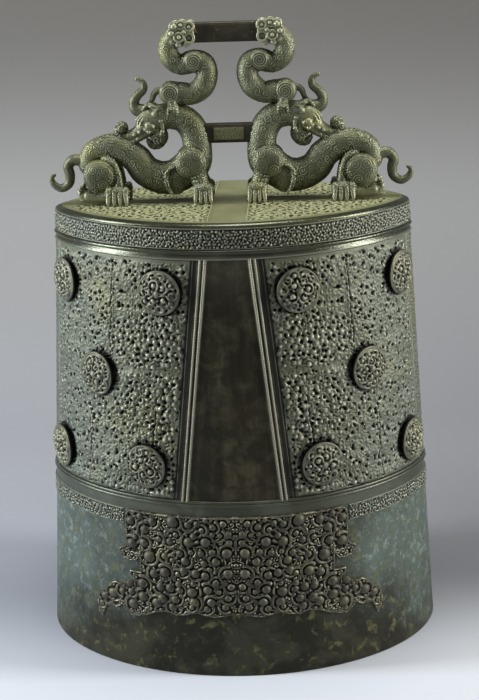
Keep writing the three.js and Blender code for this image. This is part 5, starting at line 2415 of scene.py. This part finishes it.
@dataclass
class LargeDragons:
    """The two large dragons: crouched bodies, necks curled back, heads, legs, horns and tails."""

    handle: HandleFrame
    girth: float = 27.0
    half_depth: float = 25.0
    voxel: float = 0.88
    ring_proud: float = 0.9
    face: tuple[float, float] = (0.45, 0.43)
    eye: tuple[float, float] = (0.437, 0.433)
    haunch: tuple[float, float] = (0.72, 0.16)
    haunch_radius: float = 25.5
    scroll_away: float = 27.0
    scrolls: tuple[Place, ...] = (
        (0.236, 0.277, 8.5), (0.178, 0.272, 8.0), (0.18, 0.208, 8.5), (0.242, 0.182, 9.0), (0.752, 0.2, 9.5),
        (0.688, 0.195, 9.5), (0.705, 0.115, 9.5), (0.768, 0.125, 8.5),
    )
    shoulder: tuple[float, float] = (0.213, 0.223)
    shoulder_radius: float = 24.5
    forehead: tuple[tuple[float, float, float, float], ...] = (
        (12.5, 0.1, 2.3, 15.2), (16.5, 0.2, 2.2, 13.4), (20.0, 0.4, 2.0, 10.4),
    )
    collar: tuple[tuple[float, float, float, float], ...] = (
        (0.364, 0.402, 15.6, 3.2), (0.37, 0.46, 16.6, 2.8), (0.386, 0.52, 15.4, 3.6),
        (0.415, 0.43, 17.4, 3.2), (0.44, 0.4, 15.5, 3.0), (0.49, 0.4, 12.5, 3.0), (0.52, 0.385, 11.0, 2.6),
    )
    thin: float = 1.5
    skull: tuple[float, float] = (0.437, 0.463)
    skull_radii: Place = (19.5, 17.5, 18.5)
    nose: tuple[float, float] = (0.592, 0.42)
    nose_radii: Place = (9.6, 10.5, 9.6)
    eye_out: float = 15.5
    eye_radii: Place = (6.2, 5.2, 6.2)
    lid_out: float = 15.0
    lid_radius: float = 8.2
    brow_out: float = 14.5
    temple: tuple[float, float] = (0.397, 0.5)
    temple_radii: Place = (5.5, 5.0, 5.5)
    crest_out: float = 9.0
    lip_out: float = 9.5
    jaw: tuple[float, float] = (0.398, 0.352)
    jaw_out: float = 8.5
    jaw_radius: float = 8.5
    jaw_turns: float = 1.8
    chin: Place = (0.43, 0.373, 6.0)
    chin_radii: Place = (2.6, 2.4, 4.0)
    paws: tuple[Place, ...] = ((0.149, 0.07, 0.0262), (0.625, 0.06, 0.031))
    wing_out: float = 22.5
    flank: Place = (0.298, 0.118, 14.5)
    flank_radii: Place = (15.0, 9.0, 19.0)

    def torso(self) -> list[Solid]:
        """Body, neck, haunches and shoulders.

        Returns:
            The solids.
        """
        handle, depth = self.handle, self.half_depth
        haunch, shoulder = self.haunch_radius, self.shoulder_radius
        return [
            handle.limb(LARGE_BODY, self.girth, flatness=depth / self.girth),
            ball(handle.place(*self.haunch), (haunch, depth + 3, haunch), 0.5),
            ball(handle.place(*self.shoulder), (shoulder, depth + 3.5, shoulder), 0.5),
        ]

    def head(self) -> list[Solid]:
        """Skull, curled snout, jaw, and what stands out on each cheek.

        Returns:
            The solids.
        """
        handle = self.handle
        solids = [
            ball(handle.place(*self.skull), self.skull_radii),
            handle.limb(SNOUT, self.girth),
            handle.limb(JAW, self.girth, flatness=1.25),
            ball(handle.place(*self.nose), self.nose_radii),
        ]
        return solids + self.cheek(-1) + self.cheek(1)

    def cheek(self, flank: int) -> list[Solid]:
        """Eye with its lid, brow, crest, lip, forehead ribs, collar and jaw spiral of one side of the head.

        Args:
            flank: 1 or -1, the side.

        Returns:
            The solids.
        """
        handle, girth = self.handle, self.girth
        x, _, z = handle.place(*self.eye)
        solids = [
            ball((x, flank * self.eye_out, z), self.eye_radii),
            hoop((x, flank * self.lid_out, z), self.lid_radius, np.linspace(0.3, 5.6, 14), self.thin),
            handle.limb(BROW, girth, flank * self.brow_out),
            ball(handle.place(*self.temple, flank * self.lid_out), self.temple_radii),
            handle.limb(CREST, girth, flank * self.crest_out),
            handle.limb(LIP, girth, flank * self.lip_out),
        ]
        for radius, first, last, out in self.forehead:
            solids.append(hoop((x, flank * out, z), radius, np.linspace(first, last, 14), self.thin))
        for across, up, out, radius in self.collar:
            solids.append(ball(handle.place(across, up, flank * out), (radius, radius, radius)))
        spiral = np.linspace(self.jaw_radius, self.thin, 26)
        angles = np.linspace(0, self.jaw_turns * FULL, 26)
        solids.append(hoop(handle.place(*self.jaw, flank * self.jaw_out), spiral, angles, self.thin))
        across, up, out = self.chin
        return solids + [ball(handle.place(across, up, flank * out), self.chin_radii)]

    def legs(self) -> list[Solid]:
        """Legs, paws with four toes each, heel curls and the small wings behind the shoulders.

        Returns:
            The solids.
        """
        handle = self.handle
        solids = []
        for flank in (-1, 1):
            solids += [handle.bent_limb(rows, flank) for rows in (HIND_LEG, FOOT, HEEL, ARM)]
            for paw in self.paws:
                solids += self.paw(*paw, flank)
            solids.append(handle.limb(WING, self.girth, flank * self.wing_out))
            x, z, out = self.flank
            solids.append(ball(handle.place(x, z, flank * out), self.flank_radii))
        return solids

    def paw(self, x: float, z: float, step: float, flank: int) -> list[Solid]:
        """Paw with four toes that bend over their knuckles down to the crown.

        Args:
            x: Share of the half width at its middle.
            z: Share of the height of its back.
            step: Share of the half width from toe to toe.
            flank: 1 or -1, the side of the middle plane.

        Returns:
            The paw and its toes.
        """
        girth = 0.53 * step * self.handle.half_width
        solids = [ball(self.handle.place(x, z + 0.012, flank * 22), (4.2 * girth, 11.5, 10.0))]
        for index in range(4):
            root = x + (index - 1.5) * step
            tip = x + (index - 1.5) * step * 1.08
            toe = ((root, 0.085, 20, 0.98), (root, 0.086, 27.5, 1.0), (root, 0.056, 31.5, 0.94))
            toe += ((tip, 0.022, 33.0, 0.78), (tip, 0.005, 33.6, 0.45))
            solids.append(self.handle.bent_limb(tuple((a, b, y, g * girth) for a, b, y, g in toe), flank, 14))
        return solids

    def disc_rings(self, points: Points) -> Points:
        """Raised ring with a groove round it on each haunch and shoulder disc.

        Args:
            points: Points of the body.

        Returns:
            Height at each point.
        """
        ridge = np.zeros(len(points))
        for centre, radius in ((self.haunch, self.haunch_radius), (self.shoulder, self.shoulder_radius)):
            x, _, z = self.handle.place(*centre)
            away = np.hypot(points[:, 0] - x, points[:, 2] - z) - radius
            on_disc = np.abs(points[:, 1]) > self.half_depth - 6
            ridge += on_disc * (bump_at(away, -3.5, 1.3) - 0.9 * bump_at(away, -0.4, 1.6))
        return self.ring_proud * ridge

    def build(self, workshop: Workshop) -> None:
        """Builds one dragon with its horn and tail and mirrors them.

        Args:
            workshop: Where the pieces are dressed and placed.
        """
        handle = self.handle
        mesh = fuse("large_dragon", self.torso() + self.head() + self.legs(), self.voxel, 2)
        points = mesh_points(mesh)
        points[:, 2] = np.maximum(points[:, 2], handle.foot - 1)
        points = points + mesh_normals(mesh) * self.disc_rings(points)[:, None]
        move_points(mesh, points)
        toes = smooth_step(0.0, 14.0, points[:, 2] - handle.foot - 8)
        x, _, z = handle.place(*self.face)
        away = np.hypot(points[:, 0] - x, points[:, 2] - z)
        plain = toes * (0.35 + 0.65 * smooth_step(20.0, 34.0, away))
        carve(mesh, Scrollwork(), handle.both_flanks(self.scrolls, self.scroll_away), plain)
        add_pair(workshop, mesh, "cast_dragon", "large_dragon")
        for ending, rows in (("_horn", HORN), ("_tail", TAIL)):
            part = fuse(ending[1:], [handle.limb(rows, self.girth)], 0.9, 2)
            carve(part, Scrollwork(depth=0.22, mask_gain=0.14, seed=9), np.empty((0, 4)))
            add_pair(workshop, part, "cast_dragon", "large_dragon", ending)


def add_pair(workshop: Workshop, mesh: bpy.types.Mesh, name: str, node: str, ending: str = "") -> None:
    """Places a mesh on the right half of the handle and its mirror image on the left.

    Args:
        workshop: Where it is dressed.
        mesh: The right-hand mesh.
        name: Name of the dragon.
        node: The dragon's node in the frame.
        ending: What follows in the names of a part of the dragon.
    """
    for side in Side:
        own = mesh if side is Side.RIGHT else mirrored(mesh, f"{name}{ending}_left")
        piece = bpy.data.objects.new(f"{name}{ending}_{side.label}", own)
        bpy.context.scene.collection.objects.link(piece)
        workshop.place(piece, DRAGON, Slot.DRAGON, f"{node}_{side.label}{ending}")


@dataclass
class SmallDragons:
    """The two small dragons, each curled in an S and biting an end of the hanging bar."""

    handle: HandleFrame
    girth: float = 27.0
    girth_share: float = 0.62
    half_depth: float = 18.0
    lips: float = 44.3
    top_clear: float = 0.05
    roll_radius: float = 15.5
    hip_radius: float = 16.5
    toe: float = 0.276
    toe_step: float = 0.0155
    roll_scroll: float = 14.0
    hip_scroll: float = 13.5
    scroll_away: float = 20.0
    voxel: float = 0.9
    roll: tuple[float, float] = (0.18, 0.778)
    hip: tuple[float, float] = (0.314, 0.607)
    head_rings: tuple[tuple[float, float, float, float, float], ...] = (
        (8.0, 9.5, 15.6, 6.4, 2.2), (8.5, 25.5, 15.4, 6.8, 2.2), (20.0, 6.8, 16.0, 5.4, 1.8),
        (23.0, 24.0, 16.8, 6.2, 1.9), (30.0, 8.8, 15.8, 6.0, 1.5), (33.8, 18.6, 15.4, 5.8, 1.5),
    )
    head_beads: tuple[tuple[float, float, float, float], ...] = (
        (8.0, 9.5, 15.0, 3.2), (20.0, 6.8, 16.4, 2.8), (23.0, 24.0, 17.0, 3.2), (30.0, 8.8, 16.4, 4.4),
        (33.8, 18.6, 16.0, 4.2), (15.5, 16.8, 16.6, 3.0), (33.0, 30.0, 13.0, 5.0), (24.5, 34.0, 13.0, 5.0),
        (13.5, 34.0, 12.0, 5.0), (4.0, 17.4, 14.0, 3.2),
    )

    def body(self) -> list[Solid]:
        """Neck and body in an S, with the coil and the hips as discs, legs and toes.

        Returns:
            The solids.
        """
        handle, depth = self.handle, self.half_depth
        solids = [
            handle.limb(SMALL_BODY, self.girth, flatness=depth / (self.girth_share * self.girth)),
            ball(handle.place(*self.roll), (self.roll_radius, depth + 0.9, self.roll_radius), 0.5),
            ball(handle.place(*self.hip), (self.hip_radius, depth + 1.4, self.hip_radius), 0.5),
        ]
        for flank in (-1, 1):
            solids.append(handle.bent_limb(SMALL_LEG, flank))
            for index in range(4):
                x = self.toe + self.toe_step * index
                solids.append(handle.bent_limb(tuple((x, *row) for row in SMALL_TOE), flank, 12))
        return solids

    def head(self) -> list[Solid]:
        """Head like a mask: curled lips round the bar, and eyes, brows, cheek rolls and chin on both flanks.

        Returns:
            The solids.
        """
        top = self.handle.foot + self.handle.height
        solids = [ball((self.lips + 21, 0, top - 19.5), (19.5, 16.0, 17.5), 0.8)]
        solids.append(ball((self.lips + 9, 0, top - 19.0), (8.6, 15.0, 17.0), 0.7))
        angles = np.linspace(0.5, 6.3, 18)
        for flank in (-1, 1):
            for along, down, out, radius, thick in self.head_rings:
                solids.append(hoop((self.lips + along, flank * out, top - down), radius, angles, thick))
            for along, down, out, radius in self.head_beads:
                centre = (self.lips + along, flank * out, top - down)
                solids.append(ball(centre, (radius, radius * 0.9, radius)))
        return solids

    def build(self, workshop: Workshop) -> None:
        """Builds one small dragon with its tail and mirrors them.

        Args:
            workshop: Where the pieces are dressed and placed.
        """
        handle = self.handle
        top = handle.foot + handle.height
        mesh = fuse("small_dragon", self.body() + self.head(), self.voxel, 2)
        rows = ((*self.roll, self.roll_scroll), (*self.hip, self.hip_scroll))
        wide = handle.both_flanks(rows, self.scroll_away)
        points = mesh_points(mesh)
        away = np.hypot(points[:, 0] - self.lips - 18, points[:, 2] - top + 18)
        plain = 0.2 + 0.8 * smooth_step(24.0, 32.0, away)
        carve(mesh, Scrollwork(seed=8), wide, plain)
        points = mesh_points(mesh)
        points[:, 2] = np.minimum(points[:, 2], top - self.top_clear)
        move_points(mesh, points)
        add_pair(workshop, mesh, "cast_small_dragon", "small_dragon")
        tail = fuse("small_tail", [handle.limb(SMALL_TAIL, self.girth)], 0.8, 2)
        set_relief(tail, crease_mask(tail, 6, 0.3))
        add_pair(workshop, tail, "cast_small_dragon", "small_dragon", "_tail")


@dataclass
class Bars:
    """The hanging bar and the lower bar, the lower one with a mottled panel on each side."""

    step: float = 1.0
    around: int = 132
    squareness: float = 0.28
    hidden_end: float = 2.0
    panel_half: float = 23.0
    panel_share: float = 0.7
    panel_proud: float = 0.5
    bead_spacing: float = 4.0
    bar_seed: int = 77
    scroll_spacing: float = 5.4
    scroll_radius: float = 2.2
    panel_seed: int = 78

    def bar(self, name: str, node: str, mottled: float) -> bpy.types.Object:
        """Bar with rounded edges and an uneven cast skin, in the size of its node.

        Args:
            name: Name of the piece.
            node: The frame's node that it stands for.
            mottled: Half length of the raised panel on each side, 0 for none.

        Returns:
            The bar.
        """
        low, high = (np.array(corner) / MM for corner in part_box(node))
        half_length, middle = high[0] - self.hidden_end, (high[2] + low[2]) / 2
        tall, deep = (high[2] - low[2]) / 2, (high[1] - low[1]) / 2 - self.panel_proud
        angles = np.linspace(0, FULL, self.around, endpoint=False)
        y = deep * np.sign(np.cos(angles)) * np.abs(np.cos(angles)) ** self.squareness
        z = tall * np.sign(np.sin(angles)) * np.abs(np.sin(angles)) ** self.squareness
        x = np.arange(-half_length, half_length + self.step, self.step)
        rng = np.random.default_rng(self.bar_seed)
        relief = ReliefMap(2 * half_length, 2 * tall, 0.8)
        beads = scattered(relief.width, relief.height, self.bead_spacing, 0.4, rng)
        relief.stamp(beads, rng.uniform(0.8, 1.6, len(beads)), rng.uniform(0.1, 0.45, len(beads)))
        places = ((x + half_length)[:, None] + 0 * y, (z + tall)[None, :] + 0 * x[:, None])
        carved = relief.sample(relief.heights, *places)
        side = (np.abs(y) > 0.9 * deep)[None, :]
        frame_line = bump_at(np.abs(z) / tall, 0.8, 0.07)[None, :] * side
        raised = -0.35 * frame_line + 0.3 * carved * side
        if mottled:
            reach = np.minimum(mottled - np.abs(x)[:, None], (self.panel_share * tall - np.abs(z))[None, :])
            raised = raised + self.panel_proud * smooth_step(-0.4, 0.6, reach) * side
        points = np.stack(np.broadcast_arrays(x[:, None], y[None, :], middle + z[None, :]), axis=-1)
        points[..., 1] += np.sign(y)[None, :] * raised
        return grid_mesh(name, points, LEVEL + 0.4 * raised, closed=True)

    def panels(self) -> list[bpy.types.Object]:
        """Olive mottled skins over the lower bar's two raised panels.

        Returns:
            The front and the back one.
        """
        low, high = (np.array(corner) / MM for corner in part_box("lower_bar"))
        middle, tall, out = (high[2] + low[2]) / 2, (high[2] - low[2]) / 2 * self.panel_share, high[1]
        relief = ReliefMap(2 * self.panel_half, 2 * tall, 0.7)
        rng = np.random.default_rng(self.panel_seed)
        for site in scattered(relief.width, relief.height, self.scroll_spacing, 0.3, rng):
            relief.thread(scroll_route(site, self.scroll_radius, 0.8, rng.uniform(0, FULL), 1), 0.8, 0.6)
        edge = np.minimum(relief.across, relief.width - relief.across)[None, :]
        edge = np.minimum(edge, np.minimum(relief.up, relief.height - relief.up)[:, None])
        heights = relief.heights * smooth_step(0.5, 2.0, edge) - 1.2 * smooth_step(1.2, 0.0, edge)
        mask = relief.mask(3.0, 0.5)
        pieces = []
        for face in Face:
            x = relief.across[None, :] - self.panel_half
            y = face.value * (out + 0.15 + heights)
            points = np.stack(np.broadcast_arrays(x, y, middle - tall + relief.up[:, None]), axis=-1)
            name = f"lower_bar_panel_{face.label}"
            pieces.append(grid_mesh(name, points, mask, turned=face is Face.BACK))
        return pieces

    def build(self, workshop: Workshop) -> None:
        """Builds both bars and the lower bar's panels.

        Args:
            workshop: Where the pieces are dressed and placed.
        """
        workshop.place(self.bar("upper_bar_skin", "hanging_bar", 0.0), BAR, Slot.BAR, "hanging_bar")
        workshop.place(self.bar("lower_bar_skin", "lower_bar", self.panel_half), BAR, Slot.BAR, "lower_bar")
        for piece in self.panels():
            workshop.place(piece, CROWN, Slot.BAR)


# Stage


@dataclass(frozen=True)
class Lamp:
    """Soft rectangular lamp: its place and size in metres, its power in watts and its colour."""

    name: str
    place: Place
    size: tuple[float, float]
    power: float
    colour: Colour


LAMPS = (
    Lamp("lamp_left", (-2.7, -0.4, 1.35), (0.55, 2.0), 113.0, (0.93, 0.98, 1.0)),
    Lamp("lamp_right", (2.7, -0.32, 1.35), (0.55, 2.0), 97.0, (1.0, 0.99, 0.94)),
    Lamp("lamp_top", (0.1, -0.1, 2.9), (1.3, 1.0), 44.0, (1.0, 1.0, 0.96)),
    Lamp("lamp_front", (-0.6, -3.2, 2.0), (1.2, 1.2), 3.0, (1.0, 1.0, 1.0)),
)


@dataclass
class Studio:
    """Camera, floor, backdrop and soft lamps."""

    azimuth: float = 0.0429
    elevation: float = 0.2754
    roll: float = -0.0318
    distance: float = 2283.9
    target: Place = (5.08, 0.0, 431.05)
    lens: float = 76.55
    lamps_aim: Place = (0.0, 0.0, 0.45)
    floor: tuple[float, ...] = (-4000.0, -1200.0, -250.0, 200.0, 900.0)
    bend_radius: float = 900.0
    wall_foot: float = 1500.0
    wall_top: float = 5000.0
    half_width: float = 5000.0
    fill_strength: float = 0.055
    seen_strength: float = 0.32
    # Tones along the floor and up the backdrop are painted light: palest in front where the lamps fall, a
    # painted shadow band behind the bell that is deepest on the right, and darkest high up.
    tones_left: tuple[tuple[float, Colour], ...] = (
        (-1.2, (0.54, 0.57, 0.64)),
        (-0.25, (0.52, 0.55, 0.62)),
        (0.1, (0.27, 0.282, 0.335)),
        (0.9, (0.3, 0.308, 0.34)),
        (1.9, (0.27, 0.27, 0.275)),
        (2.7, (0.125, 0.119, 0.112)),
    )
    tones_right: tuple[tuple[float, Colour], ...] = (
        (-1.2, (0.56, 0.58, 0.64)),
        (-0.2, (0.54, 0.56, 0.61)),
        (0.15, (0.098, 0.098, 0.1)),
        (0.9, (0.2, 0.2, 0.22)),
        (1.9, (0.22, 0.22, 0.228)),
        (2.7, (0.105, 0.1, 0.096)),
    )

    def camera(self) -> None:
        """Makes the camera that sees the bell as the photograph does."""
        az, el, roll = self.azimuth, self.elevation, self.roll
        ahead = Vector((-math.sin(az) * math.cos(el), math.cos(az) * math.cos(el), -math.sin(el)))
        right = Vector((math.cos(az), math.sin(az), 0.0))
        up = right.cross(ahead)
        turned = right * math.cos(roll) + up * math.sin(roll)
        upright = up * math.cos(roll) - right * math.sin(roll)
        data = bpy.data.cameras.new("camera")
        data.lens = self.lens
        data.clip_end = 50.0
        camera = bpy.data.objects.new("camera", data)
        bpy.context.scene.collection.objects.link(camera)
        matrix = camera.matrix_world.copy()
        for row in range(3):
            matrix[row][0], matrix[row][1], matrix[row][2] = turned[row], upright[row], -ahead[row]
            matrix[row][3] = (self.target[row] - ahead[row] * self.distance) * MM
        camera.matrix_world = matrix
        bpy.context.scene.camera = camera

    def backdrop(self) -> None:
        """Floor that curves up into the backdrop, with painted light: palest in front and darkest high up.

        Its back side is clear, so that it never stands between the bell and a viewer behind it.
        """
        radius, end = self.bend_radius, self.floor[-1]
        profile = [(y, 0.0) for y in self.floor]
        bend = np.linspace(0.1, math.pi / 2, 14)
        profile += [(end + radius * math.sin(a), radius - radius * math.cos(a)) for a in bend]
        profile += [(end + radius, self.wall_foot), (end + radius, self.wall_top)]
        x = np.linspace(-self.half_width, self.half_width, 11)
        sheet = grid_mesh("backdrop", np.array([[(across, y, z) for across in x] for y, z in profile]))
        sheet.data.materials.append(self.paper())
        sheet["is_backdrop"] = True

    def paper(self) -> bpy.types.Material:
        """Backdrop paper with painted light and shadow, toned from front to top and from left to right, clear
        from its back.

        Returns:
            The material.
        """
        material = bpy.data.materials.new("backdrop_paper")
        material.use_nodes = True
        wiring = Wiring(material.node_tree)
        nodes = wiring.tree.nodes
        split = nodes.new("ShaderNodeSeparateXYZ")
        wiring.feed(split, {"Vector": wiring.place()})
        first, last = self.tones_left[0][0], self.tones_left[-1][0]
        share = wiring.span(wiring.maths("ADD", split.outputs["Y"], split.outputs["Z"]), first, last)
        mix = nodes.new("ShaderNodeMix")
        mix.data_type = "RGBA"
        wiring.feed(mix, {"Factor": wiring.span(split.outputs["X"], -0.5, 0.9, soft=True)})
        for end, tones in (("A", self.tones_left), ("B", self.tones_right)):
            ramp = nodes.new("ShaderNodeValToRGB")
            ramp.color_ramp.interpolation = "EASE"
            stops = ramp.color_ramp.elements
            for at, _ in tones[1:-1]:
                stops.new((at - first) / (last - first))
            for stop, (_, tone) in zip(stops, tones):
                stop.color = (*tone, 1.0)
            wiring.feed(ramp, {"Fac": share})
            wiring.feed(mix, {end: ramp.outputs["Color"]})
        shader = nodes["Principled BSDF"]
        wiring.feed(shader, {"Base Color": mix.outputs["Result"], "Roughness": 0.85})
        clear = nodes.new("ShaderNodeBsdfTransparent").outputs["BSDF"]
        side = nodes.new("ShaderNodeMixShader")
        behind = nodes.new("ShaderNodeNewGeometry").outputs["Backfacing"]
        wiring.feed(side, {"Fac": behind, 1: shader.outputs["BSDF"], 2: clear})
        wiring.feed(nodes["Material Output"], {"Surface": side.outputs["Shader"]})
        return material

    def lamp(self, lamp: Lamp) -> None:
        """Makes a lamp that points at the bell's middle.

        Args:
            lamp: The lamp.
        """
        data = bpy.data.lights.new(lamp.name, "AREA")
        data.shape = "RECTANGLE"
        data.size, data.size_y = lamp.size
        data.energy = lamp.power
        data.color = lamp.colour
        light = bpy.data.objects.new(lamp.name, data)
        light.location = lamp.place
        ahead = Vector(self.lamps_aim) - Vector(lamp.place)
        light.rotation_euler = ahead.to_track_quat("-Z", "Y").to_euler()
        bpy.context.scene.collection.objects.link(light)

    def build(self) -> None:
        """Sets backdrop, lamps, world and view."""
        self.backdrop()
        for lamp in LAMPS:
            self.lamp(lamp)
        bpy.context.scene.world = self.world()
        bpy.context.scene.view_settings.view_transform = "Standard"

    def world(self) -> bpy.types.World:
        """Faint even light, brighter only where the camera, a reflection or glass sees it.

        Returns:
            The world.
        """
        world = bpy.data.worlds.new("studio")
        world.use_nodes = True
        wiring = Wiring(world.node_tree)
        ray = wiring.tree.nodes.new("ShaderNodeLightPath").outputs
        seen = wiring.maths("MAXIMUM", ray["Is Camera Ray"], ray["Is Glossy Ray"])
        seen = wiring.maths("MAXIMUM", seen, ray["Is Transmission Ray"])
        strength = wiring.span(seen, 0.0, 1.0, self.fill_strength, self.seen_strength)
        wiring.feed(wiring.tree.nodes["Background"], {"Color": (0.62, 0.62, 0.62, 1.0), "Strength": strength})
        return world


def main() -> None:
    """Builds every piece over the frame."""
    logging.basicConfig(level=logging.INFO, format="%(message)s")
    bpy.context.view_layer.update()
    studio = Studio()
    studio.camera()
    plan = WallPlan.from_frame()
    handle = HandleFrame.from_frame(plan)
    workshop = Workshop()
    BellBody(plan).build(workshop)
    Bands(plan).build(workshop)
    Fields(plan).build(workshop)
    CentrePanels(plan).build(workshop)
    SideEdges(plan).build(workshop)
    CrownRelief(plan).build(workshop)
    Bosses(plan).build(workshop)
    StrikePanels(plan).build(workshop)
    LargeDragons(handle).build(workshop)
    SmallDragons(handle).build(workshop)
    Bars().build(workshop)
    studio.build()
    LOG.info("%d pieces", workshop.count)


if __name__ == "__main__":
    main()
